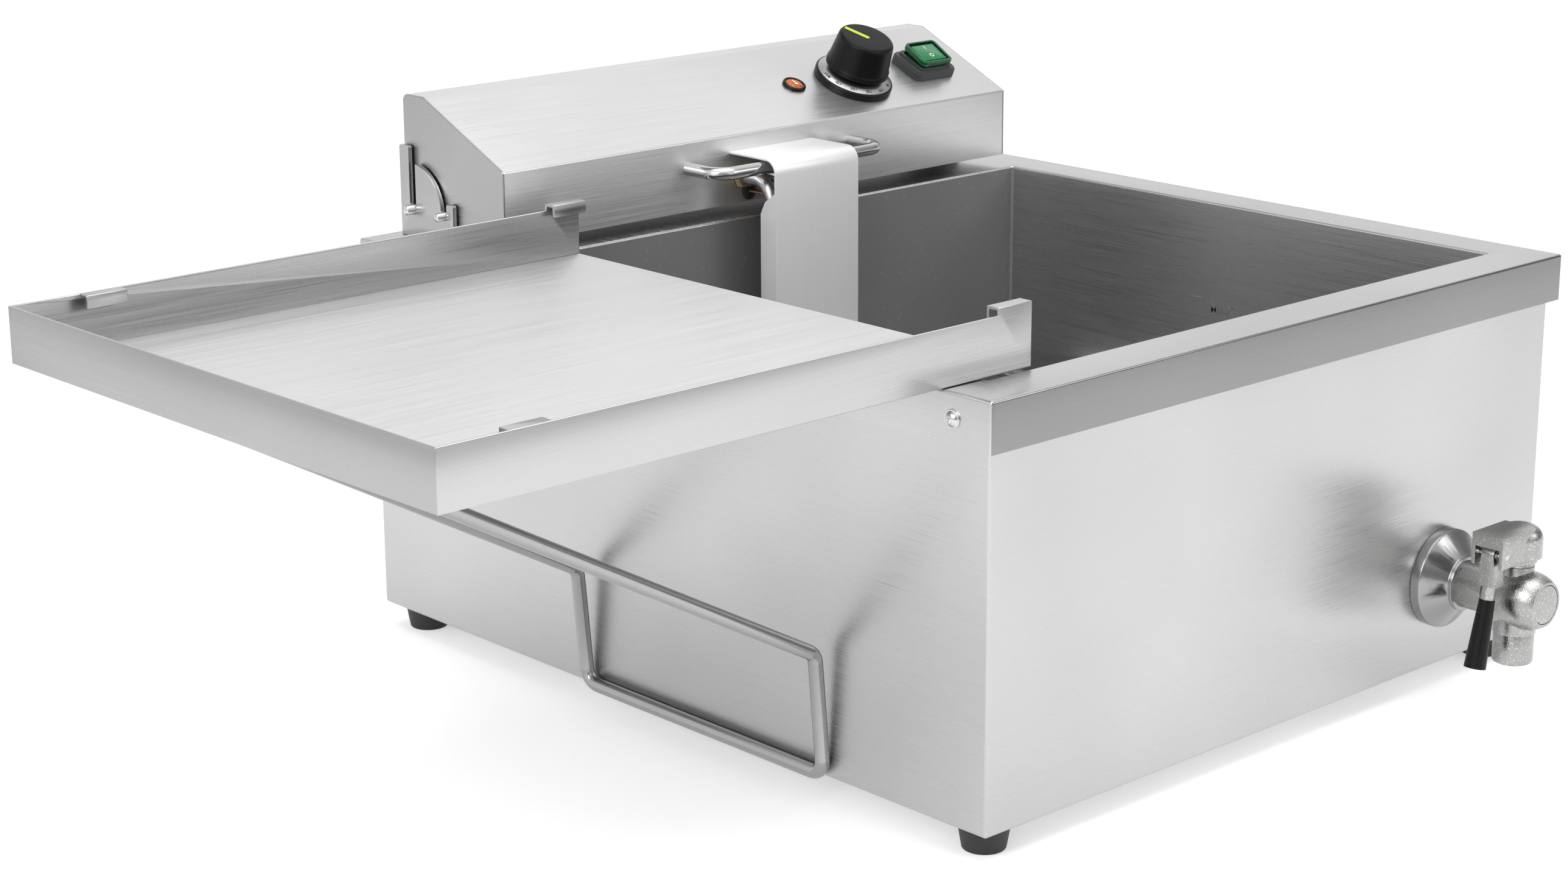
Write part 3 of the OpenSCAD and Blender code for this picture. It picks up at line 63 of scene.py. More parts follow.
camera_data = bpy.data.cameras.new("camera")
camera_data.sensor_width = SENSOR
camera_data.lens = LENS
camera = scene_object("camera", camera_data)
bpy.context.scene.camera = camera
towards_camera = Vector((
    math.sin(AZIMUTH) * math.cos(ELEVATION),
    -math.cos(AZIMUTH) * math.cos(ELEVATION),
    math.sin(ELEVATION)))
camera.rotation_mode = "QUATERNION"
camera.rotation_quaternion = (
    (-towards_camera).to_track_quat("-Z", "Y") @ Quaternion((0, 0, 1), ROLL))
camera.location = CENTRE + CAMERA_PLACE * MM

# ---- The stage is a plain white floor that keeps the shadow, under three soft boxes and a
# white sky. Soft-edged dark flags in the sky give brushed and polished metal its tones.
FLOOR_HALF, FLOOR_WHITE, FLOOR_ROUGH = 12.0, 0.86, 0.9
FLOOR_GLOW, GLOSSY_SHARE = 0.42, 0.7


def shader(name):
    """A new material, its node tree and its Principled shader."""
    material = bpy.data.materials.new(name)
    material.use_nodes = True
    return material, material.node_tree, material.node_tree.nodes["Principled BSDF"]


def fed(tree, node, inputs):
    """A node's outputs, once its inputs are set to numbers or wired to sockets."""
    for key, value in inputs.items():
        if isinstance(value, bpy.types.NodeSocket):
            tree.links.new(value, node.inputs[key])
        else:
            node.inputs[key].default_value = value
    return node.outputs


def wired(tree, kind, inputs, operation=None):
    """The outputs of a new shader node with these inputs."""
    node = tree.nodes.new("ShaderNode" + kind)
    if operation:
        node.operation = operation
    return fed(tree, node, inputs)


def floor_material():
    """Matt white that is lifted to pure white for the camera, and partly for reflections."""
    material, tree, bsdf = shader("white floor")
    path = wired(tree, "LightPath", {})
    diffuse = fed(tree, bsdf, {"Base Color": (FLOOR_WHITE, FLOOR_WHITE, FLOOR_WHITE, 1),
                               "Roughness": FLOOR_ROUGH})[0]
    shown = wired(tree, "Math", {0: path["Is Glossy Ray"], 1: GLOSSY_SHARE,
                                 2: path["Is Camera Ray"]}, "MULTIPLY_ADD")[0]
    lift = wired(tree, "Emission", {"Color": (1, 1, 1, 1), "Strength": FLOOR_GLOW})[0]
    glow = wired(tree, "AddShader", {0: diffuse, 1: lift})[0]
    choose = wired(tree, "MixShader", {0: shown, 1: diffuse, 2: glow})[0]
    fed(tree, tree.nodes["Material Output"], {"Surface": choose})
    return material


floor_mesh = bpy.data.meshes.new("floor")
FLOOR_CORNERS = ((-1, -1), (1, -1), (1, 1), (-1, 1))
floor_mesh.from_pydata(
    [(x * FLOOR_HALF, y * FLOOR_HALF, 0) for x, y in FLOOR_CORNERS], [], [(0, 1, 2, 3)])
floor_mesh.materials.append(floor_material())
floor = scene_object("floor", floor_mesh)

LAMP_AIM = Vector((0.1, 0.0, 0.15))
LAMPS = (
    # name, place and size in metres, watts
    ("overhead soft box", (0.1, -0.2, 2.3), 2.0, 26.0),
    ("left soft box", (-2.0, -0.6, 1.5), 1.2, 22.0),
    ("right soft box", (1.4, -1.9, 1.3), 0.9, 7.0),
)
for name, place, size, watts in LAMPS:
    light = bpy.data.lights.new(name, "AREA")
    light.size = size
    light.energy = watts
    lamp = scene_object(name, light)
    lamp.location = place
    lamp.rotation_mode = "QUATERNION"
    lamp.rotation_quaternion = (LAMP_AIM - lamp.location).to_track_quat("-Z", "Y")

world = bpy.data.worlds.new("white studio")
world.use_nodes = True
bpy.context.scene.world = world
sky = world.node_tree
sky_path = wired(sky, "LightPath", {})
sky_place = wired(sky, "TexCoord", {})["Generated"]


def sky_flag(towards, near, far, depth):
    """How much a dark soft-edged board takes from the sky, between two cosines of its edge."""
    spread = sky.nodes.new("ShaderNodeMapRange")
    spread.interpolation_type = "SMOOTHSTEP"
    facing_it = wired(sky, "VectorMath", {0: sky_place, 1: Vector(towards).normalized()},
                      "DOT_PRODUCT")["Value"]
    return fed(sky, spread, {"From Min": far, "From Max": near, "To Max": depth,
                             "Value": facing_it})[0]


SKY_LIGHT, SKY_SEEN = 0.62, 0.98
FLAGS = (
    # towards, cosine at the inner edge, cosine at the outer edge, how dark
    ((0.86, -0.5, 0.05), 0.96, 0.55, 0.66),
    ((-0.55, -0.83, -0.05), 0.97, 0.80, 0.62),
    ((-0.1, 0.5, 0.86), 0.97, 0.86, 0.70),
)
flags = 0.0
for flag in FLAGS:
    flags = wired(sky, "Math", {0: flags, 1: sky_flag(*flag)}, "ADD")[0]
lit = wired(sky, "Math", {0: SKY_SEEN - SKY_LIGHT, 1: flags}, "SUBTRACT")[0]
mirrored = wired(sky, "Math", {0: sky_path["Is Glossy Ray"], 1: lit}, "MULTIPLY")[0]
reflected = wired(sky, "Math", {0: SKY_LIGHT, 1: mirrored}, "ADD")[0]
seen = wired(sky, "Math", {0: sky_path["Is Camera Ray"], 1: sky_path["Is Transmission Ray"]},
             "MAXIMUM")[0]
fed(sky, sky.nodes["Background"], {
    "Color": (1, 1, 1, 1),
    "Strength": wired(sky, "Math", {0: seen, 1: reflected}, "MAXIMUM")[0]})

bpy.context.scene.view_settings.view_transform = "Standard"

# ---- The casing is one folded stainless sheet: four walls with tight bends and a flange
# turned in underneath, which carries the feet and the base plate.
HALF_W = (CASING_HI.x - CASING_LO.x) / 2 / MM
HALF_D = (CASING_HI.y - CASING_LO.y) / 2 / MM
SHEET, FLANGE = 1.2, 38
CASING_BEND, LEAST_BEND = 2.0, 0.5
CORNER_STEPS = 6


def at(x, y, z):
    """A place given in millimetres from the middle of the casing and the table."""
    return CENTRE + Vector((x, y, z)) * MM


def rounded_loop(x, y, z, r):
    """Points round a rectangle in millimetres: x and y are (low, high), r is the corners'."""
    points = []
    for cx, cy, start in ((x[1] - r, y[1] - r, 0), (x[0] + r, y[1] - r, 90),
                          (x[0] + r, y[0] + r, 180), (x[1] - r, y[0] + r, 270)):
        for k in range(CORNER_STEPS + 1):
            a = math.radians(start + 90 * k / CORNER_STEPS)
            points.append(at(cx + r * math.cos(a), cy + r * math.sin(a), z))
    return points


def inset_loop(i, z):
    """A loop round the casing, i millimetres inside its faces."""
    return rounded_loop((-HALF_W + i, HALF_W - i), (-HALF_D + i, HALF_D - i), z,
                        max(CASING_BEND - i, LEAST_BEND))


def arc(r, start, stop, steps=4):
    """Points (a, b) on an arc round the origin, from one angle in degrees to another."""
    turn = [math.radians(start + (stop - start) * k / steps) for k in range(steps + 1)]
    return [(r * math.cos(t), r * math.sin(t)) for t in turn]


def stacked(name, loops, closed=False):
    """A closed mesh through loops of equal length: capped at both ends, or joined to a ring."""
    n, count = len(loops[0]), len(loops)
    faces = []
    for k in range(count if closed else count - 1):
        a, b = k * n, (k + 1) % count * n
        faces += [(a + i, a + (i + 1) % n, b + (i + 1) % n, b + i) for i in range(n)]
    if not closed:
        faces += [tuple(range(n)), tuple(range((count - 1) * n, count * n))]
    mesh = bpy.data.meshes.new(name)
    mesh.from_pydata([p for loop in loops for p in loop], [], faces)
    return mesh


def outward(mesh):
    """Merges doubles and turns every face outwards."""
    bm = bmesh.new()
    bm.from_mesh(mesh)
    bmesh.ops.remove_doubles(bm, verts=bm.verts, dist=1e-6)
    bmesh.ops.recalc_face_normals(bm, faces=bm.faces)
    bm.to_mesh(mesh)
    bm.free()
    return mesh


def piece(name, mesh, materials, body, replaces=(), smooth=35):
    """Puts a finished mesh in the scene as a piece that rides on a body."""
    mesh.materials.clear()
    for m in materials if isinstance(materials, (list, tuple)) else [materials]:
        mesh.materials.append(m)
    if smooth is not None:
        for face in mesh.polygons:
            face.use_smooth = True
        mesh.set_sharp_from_angle(angle=math.radians(smooth))
    obj = scene_object(name, mesh)
    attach(obj, body)
    if replaces:
        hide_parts(*replaces)
    return obj


def new_group(name, inputs, outputs):
    """A shader node group with float, vector or colour inputs and float outputs."""
    tree = bpy.data.node_groups.new(name, "ShaderNodeTree")
    for label, kind, value in inputs:
        socket = tree.interface.new_socket(label, in_out="INPUT", socket_type="NodeSocket" + kind)
        socket.default_value = value
    for label in outputs:
        tree.interface.new_socket(label, in_out="OUTPUT", socket_type="NodeSocketFloat")
    return tree, tree.nodes.new("NodeGroupInput"), tree.nodes.new("NodeGroupOutput")


# Grain of a rolled and brushed sheet: fine streaks, long along the brushing, and soft patches
grain, grain_in, grain_out = new_group(
    "sheet grain",
    [("Stretch", "Vector", (20, 20, 2500)), ("Patch", "Float", 6.0)],
    ["Streak", "Cloud"])
grain_place = wired(grain, "TexCoord", {})["Object"]
grain_long = wired(grain, "VectorMath", {0: grain_place, 1: grain_in.outputs["Stretch"]},
                   "MULTIPLY")[0]
fed(grain, grain_out, {
    "Streak": wired(grain, "TexNoise", {"Vector": grain_long, "Scale": 1.0, "Detail": 4.0,
                                        "Roughness": 0.65})["Fac"],
    "Cloud": wired(grain, "TexNoise", {"Vector": grain_place, "Detail": 2.0,
                                       "Scale": grain_in.outputs["Patch"]})["Fac"]})


def pattern(tree, group, inputs):
    """The outputs of a pattern group inside a material."""
    node = tree.nodes.new("ShaderNodeGroup")
    node.node_tree = group
    return fed(tree, node, inputs)


def mapped(tree, value, low, high, source=(0.3, 0.7)):
    """A value spread over a new range."""
    return wired(tree, "MapRange", {"From Min": source[0], "From Max": source[1],
                                    "To Min": low, "To Max": high, "Value": value})[0]


def toned(tree, value, dark, light):
    """A colour between dark and light by a value."""
    node = tree.nodes.new("ShaderNodeMix")
    node.data_type = "RGBA"
    return fed(tree, node, {"A": (*dark, 1), "B": (*light, 1), "Factor": value})["Result"]


def surfaced(tree, bsdf, tone, dark, light, worn, low, high, relief, depth=0.0002):
    """Colours a shader by one value; another gives it roughness and fine relief, in metres."""
    relieved = wired(tree, "Bump", {"Strength": relief, "Distance": depth, "Height": worn})[0]
    fed(tree, bsdf, {"Base Color": toned(tree, tone, dark, light), "Normal": relieved,
                     "Roughness": mapped(tree, worn, low, high)})


STREAK_SHARE, PATCH_SHARE, ROUGH_SPREAD = 0.55, 0.45, 0.07


def brushed(name, grey, rough, stretch, axis="Z", contrast=0.05, relief=0.12, lean=0.55,
            metallic=1.0):
    """Brushed stainless sheet. stretch is dense across the brushing and thin along it."""
    material, tree, bsdf = shader(name)
    made = pattern(tree, grain, {"Stretch": stretch})
    both = wired(tree, "Math", {0: made["Streak"], 1: STREAK_SHARE,
                                2: mapped(tree, made["Cloud"], 0.0, PATCH_SHARE)},
                 "MULTIPLY_ADD")[0]
    surfaced(tree, bsdf, both, [grey - contrast] * 3, [grey + contrast] * 3,
             made["Streak"], rough - ROUGH_SPREAD, rough + ROUGH_SPREAD, relief)
    tangent = tree.nodes.new("ShaderNodeTangent")
    tangent.direction_type = "RADIAL"
    tangent.axis = axis
    fed(tree, bsdf, {"Metallic": metallic, "Anisotropic": lean, "Tangent": tangent.outputs[0]})
    return material


def coat(material, *nodes):
    """Gives shown parts of the model a material."""
    for node in nodes:
        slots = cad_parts[node].data.materials
        slots.clear()
        slots.append(material)


CASING_TOP = CASING_HI.z / MM
CASING_BOTTOM = CASING_LO.z / MM
casing_steel = brushed("casing steel", 0.55, 0.31, (14, 14, 2000), contrast=0.07, relief=0.2,
                       metallic=0.95)
casing_profile = (
    [(0, CASING_TOP)]
    + [(CASING_BEND - b, CASING_BOTTOM + CASING_BEND - c) for b, c in arc(CASING_BEND, 0, 90)]
    + [(FLANGE, CASING_BOTTOM), (FLANGE, CASING_BOTTOM + SHEET)]
    + [(CASING_BEND - b, CASING_BOTTOM + CASING_BEND - c)
       for b, c in arc(CASING_BEND - SHEET, 90, 0)]
    + [(SHEET, CASING_TOP)])
casing_mesh = stacked("casing", [inset_loop(i, z) for i, z in casing_profile], closed=True)
piece("casing_walls", outward(casing_mesh), casing_steel, "fryer_body", ["casing"])

coat(brushed("base plate steel", 0.62, 0.38, (400, 14, 14), contrast=0.03), "base_plate")

# ---- The tank and its rim are one welded piece: a wide folded frame with a hanging skirt
# over the casing, and the deep oil tank, whose inside is blasted dull.
TANK_LO, RIM_LO, RIM_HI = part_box("oil_tank")[0], *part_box("tank_rim")
RIM_TOP = RIM_HI.z / MM
OVERHANG = (CASING_LO.x - RIM_LO.x) / MM
TANK_SHEET, SKIRT = 1.5, 27
TANK_SIDE, TANK_FRONT, TANK_DEPTH = 24, 26, 380
TANK_X = (-HALF_W + TANK_SIDE, HALF_W - TANK_SIDE)
TANK_Y = (-HALF_D + TANK_FRONT, -HALF_D + TANK_FRONT + TANK_DEPTH)
TANK_FLOOR = TANK_LO.z / MM + TANK_SHEET
RIM_BEND, LEAST_RIM_BEND, MOUTH_BEND, FLOOR_BEND, TANK_CORNER = 1.6, 0.3, 1.5, 5.0, 2.0


def rim_loop(i, z):
    """A loop round the rim, i millimetres inside its skirt."""
    x, y = HALF_W + OVERHANG - i, HALF_D + OVERHANG - i
    return rounded_loop((-x, x), (-y, y), z, max(RIM_BEND - i, LEAST_RIM_BEND))


def tank_loop(grow, z):
    """A loop round the tank's opening, grown outwards by some millimetres."""
    return rounded_loop((TANK_X[0] - grow, TANK_X[1] + grow),
                        (TANK_Y[0] - grow, TANK_Y[1] + grow), z, TANK_CORNER)


tank_loops = [tank_loop(-(FLOOR_BEND + b), TANK_FLOOR + FLOOR_BEND + c)
              for b, c in arc(FLOOR_BEND, 270, 180)]
tank_loops += [tank_loop(MOUTH_BEND + b, RIM_TOP - MOUTH_BEND + c)
               for b, c in arc(MOUTH_BEND, 180, 90)]
tank_loops += [rim_loop(RIM_BEND - b, RIM_TOP - RIM_BEND + c) for b, c in arc(RIM_BEND, 90, 0)]
tank_loops += [rim_loop(0, RIM_TOP - SKIRT), rim_loop(TANK_SHEET, RIM_TOP - SKIRT),
               rim_loop(TANK_SHEET, RIM_TOP - TANK_SHEET),
               tank_loop(TANK_SHEET, RIM_TOP - TANK_SHEET)]
UNDER_EDGE = 1
tank_loops += [tank_loop(TANK_SHEET, TANK_FLOOR - TANK_SHEET + UNDER_EDGE),
               tank_loop(TANK_SHEET - UNDER_EDGE, TANK_FLOOR - TANK_SHEET)]
tank_mesh = stacked("tank", tank_loops)

# Drain hole through the tank's floor, bored with a plain round cutter
DRAIN_X, DRAIN_IN, DRAIN_R, CUTTER_H, CUTTER_SIDES = 143, 30, 7, 20, 40


def meshed(name, bm):
    """A mesh from a bmesh, which is freed."""
    mesh = bpy.data.meshes.new(name)
    bm.to_mesh(mesh)
    bm.free()
    return mesh


bm = bmesh.new()
bmesh.ops.create_cone(
    bm, cap_ends=True, segments=CUTTER_SIDES, radius1=DRAIN_R * MM, radius2=DRAIN_R * MM,
    depth=CUTTER_H * MM, matrix=Matrix.Translation(at(DRAIN_X, TANK_Y[0] + DRAIN_IN, TANK_FLOOR)))
cutter_mesh = meshed("drain cutter", bm)


def evaluated(obj):
    """The object's mesh as its modifiers leave it."""
    return bpy.data.meshes.new_from_object(
        obj.evaluated_get(bpy.context.evaluated_depsgraph_get()))


def bored(mesh, cutter):
    """The mesh with the cutter's shape taken out of it."""
    obj, tool = scene_object("uncut", mesh), scene_object("cutter", cutter)
    cut = obj.modifiers.new("bore", "BOOLEAN")
    cut.operation = "DIFFERENCE"
    cut.solver = "EXACT"
    cut.object = tool
    result = evaluated(obj)
    for o in (obj, tool):
        bpy.data.objects.remove(o)
    return result


# Dull, blasted steel: even grey, with tiny bright grains painted into its colour as glints
sparkle, sparkle_in, sparkle_out = new_group(
    "grains and painted glints", [("Fineness", "Float", 900.0), ("Share", "Float", 0.8)],
    ["Painted glint", "Relief", "Cloud"])
sparkle_place = wired(sparkle, "TexCoord", {})["Object"]
sparkle_size = sparkle_in.outputs["Fineness"]
sparkle_cells = wired(sparkle, "TexVoronoi", {"Vector": sparkle_place, "Scale": sparkle_size,
                                              "Randomness": 1.0})["Color"]
sparkle_pick = wired(sparkle, "SeparateColor", {0: sparkle_cells})[0]
# The first output marks a few cells that brighten the colour: painted glints.
fed(sparkle, sparkle_out, {
    "Painted glint": wired(sparkle, "Math", {0: sparkle_pick, 1: sparkle_in.outputs["Share"]},
                   "GREATER_THAN")[0],
    "Relief": wired(sparkle, "TexNoise", {"Vector": sparkle_place, "Detail": 3.0,
                                          "Scale": sparkle_size})["Fac"],
    "Cloud": wired(sparkle, "TexNoise", {"Vector": sparkle_place, "Detail": 2.0,
                                         "Scale": 9.0})["Fac"]})


def grained(name, dark, light, rough, fineness, share, relief, painted_glint, metallic=1.0):
    """A cast or blasted surface: mottled tone, tiny bright grains painted into the colour as
    glints, and a fine pitted relief.
    """
    material, tree, bsdf = shader(name)
    fed(tree, bsdf, {"Metallic": metallic})
    made = pattern(tree, sparkle, {"Fineness": fineness, "Share": share})
    tone = wired(tree, "Math", {0: made["Painted glint"], 1: painted_glint,
                                2: mapped(tree, made["Cloud"], 0.0, 1.0 - painted_glint)},
                 "MULTIPLY_ADD")[0]
    surfaced(tree, bsdf, tone, dark, light, made["Relief"], rough - 0.06, rough + 0.06, relief,
             0.0003)
    return material


rim_steel = brushed("rim steel", 0.54, 0.30, (900, 14, 2600))
# The skirt is the rim's own sheet, but given a much darker grey: painted shade on its front and
# back faces.
skirt_painted_shade_steel = brushed("skirt steel with painted shade", 0.29, 0.24, (14, 14, 1800), contrast=0.02, relief=0.06)
tank_dull = grained("blasted tank", (0.18, 0.18, 0.183), (0.25, 0.25, 0.253), 0.50, 700.0, 0.985,
                    0.25, 0.5, metallic=0.35)
tank_and_rim = piece(
    "tank_and_rim", outward(bored(tank_mesh, cutter_mesh)), [rim_steel, tank_dull, skirt_painted_shade_steel],
    "fryer_body", ["oil_tank", "tank_rim"])
DULL, PAINTED_SHADE_SKIRT = 1, 2
SKIRT_FACE, DULL_BELOW = 0.5, 1.2
for face in tank_and_rim.data.polygons:
    place = (face.center - CENTRE) / MM
    inside = abs(place.x) <= TANK_X[1] and TANK_Y[0] <= place.y <= TANK_Y[1]
    # The skirt's front and back faces take the darker steel, as painted shade.
    if abs(place.y) > HALF_D + OVERHANG - SKIRT_FACE:
        face.material_index = PAINTED_SHADE_SKIRT
    elif inside and place.z < RIM_TOP - DULL_BELOW:
        face.material_index = DULL

# Highest oil level: a dash and a word pressed into the right wall
MARK_Y, MARK_Z, MARK_SIZE, MARK_RAISED = -34, 177, 9.0, 0.5
DASH_L, DASH_W, DASH_EASE, DASH_X, DASH_Y = 10, 1.3, 0.15, -22, 5


def lettering(name, word, size, thick):
    """A word as a solid mesh, flat in X and Y, centred on the origin, in metres."""
    text = bpy.data.curves.new(name, "FONT")
    text.body = word
    text.size = size * MM
    text.extrude = thick / 2 * MM
    text.offset = 0.02 * size * MM
    text.align_x, text.align_y = "CENTER", "CENTER"
    text.resolution_u = 4
    obj = scene_object(name, text)
    bpy.context.view_layer.update()
    mesh = evaluated(obj)
    bpy.data.objects.remove(obj)
    return mesh


def block(sx, sy, sz, matrix, bevel=0.0):
    """A box mesh in millimetres, eased on its edges, at a matrix."""
    bm = bmesh.new()
    bmesh.ops.create_cube(bm, size=1.0, matrix=Matrix.Diagonal((sx * MM, sy * MM, sz * MM, 1)))
    if bevel:
        bmesh.ops.bevel(bm, geom=bm.edges[:], offset=bevel * MM, segments=3, profile=0.5,
                        affect="EDGES", clamp_overlap=True)
    bm.transform(matrix)
    return meshed("block", bm)


def joined(name, meshes):
    """One mesh from several."""
    bm = bmesh.new()
    for m in meshes:
        bm.from_mesh(m)
    return meshed(name, bm)


# The right wall is seen from inside: X of the word runs back to front, its Y runs up
on_wall = Matrix((
    (0, 0, -1, at(TANK_X[1], 0, 0).x), (-1, 0, 0, at(0, MARK_Y, 0).y),
    (0, 1, 0, MARK_Z * MM), (0, 0, 0, 1)))
mark_word = lettering("level word", "MAX", MARK_SIZE, MARK_RAISED)
mark_word.transform(on_wall)
dash_place = on_wall @ Matrix.Translation((DASH_X * MM, DASH_Y * MM, 0))
mark_dash = block(DASH_L, DASH_W, MARK_RAISED, dash_place, DASH_EASE)
piece("level_mark", joined("level mark", [mark_word, mark_dash]), tank_dull, "fryer_body")

# Four button-head screws with washers hold the skirt to the casing
SCREW_HEAD_R, SCREW_HEAD_H, SOCKET_R, SOCKET_END, SCREW_SIDES = 4.2, 2.2, 1.45, 0.6, 24
WASHER_R, WASHER_H, WASHER_EASE = 5.0, 1.0, 0.25
SKIRT_SCREW_IN = 21
SKIRT_SCREW_Y, SKIRT_SCREW_Z = HALF_D - SKIRT_SCREW_IN, RIM_TOP - SKIRT / 2


def turned(name, profile, segments=40):
    """A closed lathe mesh about Z from (radius, height) points in millimetres."""
    verts, faces, rings = [], [], []
    for r, z in profile:
        if r < 1e-6:
            rings.append([len(verts)])
            verts.append((0, 0, z * MM))
        else:
            rings.append(range(len(verts), len(verts) + segments))
            for k in range(segments):
                a = 2 * math.pi * k / segments
                verts.append((r * MM * math.cos(a), r * MM * math.sin(a), z * MM))
    for a, b in zip(rings, rings[1:]):
        for k in range(segments):
            n = (k + 1) % segments
            if len(a) == 1 and len(b) > 1:
                faces.append((a[0], b[n], b[k]))
            elif len(b) == 1 and len(a) > 1:
                faces.append((a[k], a[n], b[0]))
            elif len(a) > 1:
                faces.append((a[k], a[n], b[n], b[k]))
    mesh = bpy.data.meshes.new(name)
    mesh.from_pydata(verts, [], faces)
    return outward(mesh)


SCREW_TURN = [2 * math.pi * k / SCREW_SIDES for k in range(SCREW_SIDES)]


def hexagon_loop(r, z):
    """A hexagon's outline with as many points as a circle of the same mesh."""
    points = []
    for a in SCREW_TURN:
        side = math.cos(math.pi / 6) / math.cos((a % (math.pi / 3)) - math.pi / 6)
        points.append(Vector((r * side * math.cos(a), r * side * math.sin(a), z)) * MM)
    return points


def circle_loop(r, z):
    """A circle's outline at a height."""
    return [Vector((r * math.cos(a), r * math.sin(a), z)) * MM for a in SCREW_TURN]


def button_screw(head_r, head_h, washer_r=0.0, socket=SOCKET_R):
    """A domed screw head with a hexagon socket, on a washer, standing up from z = 0."""
    base = WASHER_H if washer_r else 0.0
    dome = (head_r ** 2 + head_h ** 2) / 2 / head_h
    loops = [circle_loop(head_r, base)]
    for k in range(1, 6):
        r = head_r - (head_r - socket * 1.25) * k / 5
        loops.append(circle_loop(r, base + head_h - dome + math.sqrt(dome ** 2 - r ** 2)))
    loops += [hexagon_loop(socket, loops[-1][0].z / MM), hexagon_loop(socket, base + SOCKET_END)]
    meshes = [outward(stacked("head", loops))]
    if washer_r:
        meshes.append(turned("washer", [
            (0, 0), (washer_r, 0), (washer_r, WASHER_H - WASHER_EASE),
            (washer_r - WASHER_EASE, WASHER_H), (0, WASHER_H)]))
    return joined("screw", meshes)


def geometry_group(name, settings, kinds):
    """A Geometry Nodes group from its settings and nodes, and its nodes by key."""
    tree = bpy.data.node_groups.new(name, "GeometryNodeTree")
    for label, kind in (("Geometry", "Geometry"), *settings, ("Finish", "Material")):
        tree.interface.new_socket(label, in_out="INPUT", socket_type="NodeSocket" + kind)
    tree.interface.new_socket("Geometry", in_out="OUTPUT", socket_type="NodeSocketGeometry")
    kinds = {"in": "NodeGroupInput", "out": "NodeGroupOutput", **kinds,
             "real": "GeometryNodeRealizeInstances", "paint": "GeometryNodeSetMaterial"}
    return tree, {key: tree.nodes.new(kind) for key, kind in kinds.items()}


def grown(obj, tree, n, wires, **settings):
    """The mesh that a Geometry Nodes group makes of an object, once its nodes are wired."""
    for a, out, b, into in (*wires, ("real", "Geometry", "paint", "Geometry"),
                            ("in", "Finish", "paint", "Material"),
                            ("paint", "Geometry", "out", "Geometry")):
        tree.links.new(n[a].outputs[out], n[b].inputs[into])
    modifier = obj.modifiers.new("grow", "NODES")
    modifier.node_group = tree
    for socket in tree.interface.items_tree:
        if socket.name in settings:
            modifier[socket.identifier] = settings[socket.name]
    mesh = evaluated(obj)
    obj.modifiers.remove(modifier)
    return mesh


def scattered(name, prototype, places, material):
    """Copies of a mesh at a list of matrices, made with Geometry Nodes, as one mesh."""
    source = scene_object(name + " one", prototype)
    points = bpy.data.meshes.new(name + " points")
    points.from_pydata([m.translation for m in places], [], [])
    turn = points.attributes.new("turn", "FLOAT_VECTOR", "POINT")
    for k, m in enumerate(places):
        turn.data[k].vector = m.to_euler()
    holder = scene_object(name, points)
    tree, n = geometry_group(
        name + " copies", [("One", "Object")],
        {"info": "GeometryNodeObjectInfo", "turn": "GeometryNodeInputNamedAttribute",
         "rotation": "FunctionNodeEulerToRotation", "copies": "GeometryNodeInstanceOnPoints"})
    n["turn"].data_type = "FLOAT_VECTOR"
    n["turn"].inputs["Name"].default_value = "turn"
    mesh = grown(holder, tree, n, (
        ("in", "Geometry", "copies", "Points"), ("in", "One", "info", "Object"),
        ("info", "Geometry", "copies", "Instance"), ("turn", "Attribute", "rotation", "Euler"),
        ("rotation", "Rotation", "copies", "Rotation"),
        ("copies", "Instances", "real", "Geometry")), One=source, Finish=material)
    for o in (source, holder):
        bpy.data.objects.remove(o)
    return mesh


def smudged(name, grey, rough, smudge=0.06, tint=(1.0, 1.0, 1.0)):
    """Polished or plated metal with faint handling marks."""
    material, tree, bsdf = shader(name)
    fed(tree, bsdf, {"Metallic": 1.0})
    made = pattern(tree, grain, {"Stretch": (180, 180, 180), "Patch": 35.0})
    surfaced(tree, bsdf, made["Cloud"], [grey * 0.93 * t for t in tint],
             [grey * t for t in tint], made["Streak"], rough, rough + smudge, 0.04)
    return material


polished = smudged("polished steel", 0.62, 0.12)
facing = {1: Matrix.Rotation(math.pi / 2, 4, "Y"), -1: Matrix.Rotation(-math.pi / 2, 4, "Y")}
skirt_screws = scattered("skirt screws", button_screw(SCREW_HEAD_R, SCREW_HEAD_H, WASHER_R), [
    Matrix.Translation(at(side * (HALF_W + OVERHANG), y, SKIRT_SCREW_Z)) @ facing[side]
    for side in (-1, 1) for y in (-SKIRT_SCREW_Y, SKIRT_SCREW_Y)], polished)
piece("skirt_screws", skirt_screws, polished, "fryer_body", ["tank_screws"])

# ---- Four moulded rubber feet stand under the casing's corners, wider where they meet it.
# Each is held by a screw, whose head lies in a recess in the foot's end.
FOOT_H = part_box("feet")[1].z / MM
FOOT_TOP_R, FOOT_END_R, FOOT_INSET, FOOT_BEND = 14.5, 11.75, 19, 1.5
RECESS_R, RECESS_H, RECESS_EASE = 6, 6, 0.4
SPARK_FINENESS = 1400.0


def soft_plastic(name, colour, rough, relief=0.12, gloss=0.5):
    """Moulded rubber or plastic: even colour with a fine spark-eroded texture."""
    material, tree, bsdf = shader(name)
    fed(tree, bsdf, {"Specular IOR Level": gloss})
    made = pattern(tree, sparkle, {"Fineness": SPARK_FINENESS})
    surfaced(tree, bsdf, made["Cloud"], [c * 0.85 for c in colour],
             [min(1.0, c * 1.15) for c in colour], made["Relief"], rough - 0.05, rough + 0.08,
             relief)
    return material


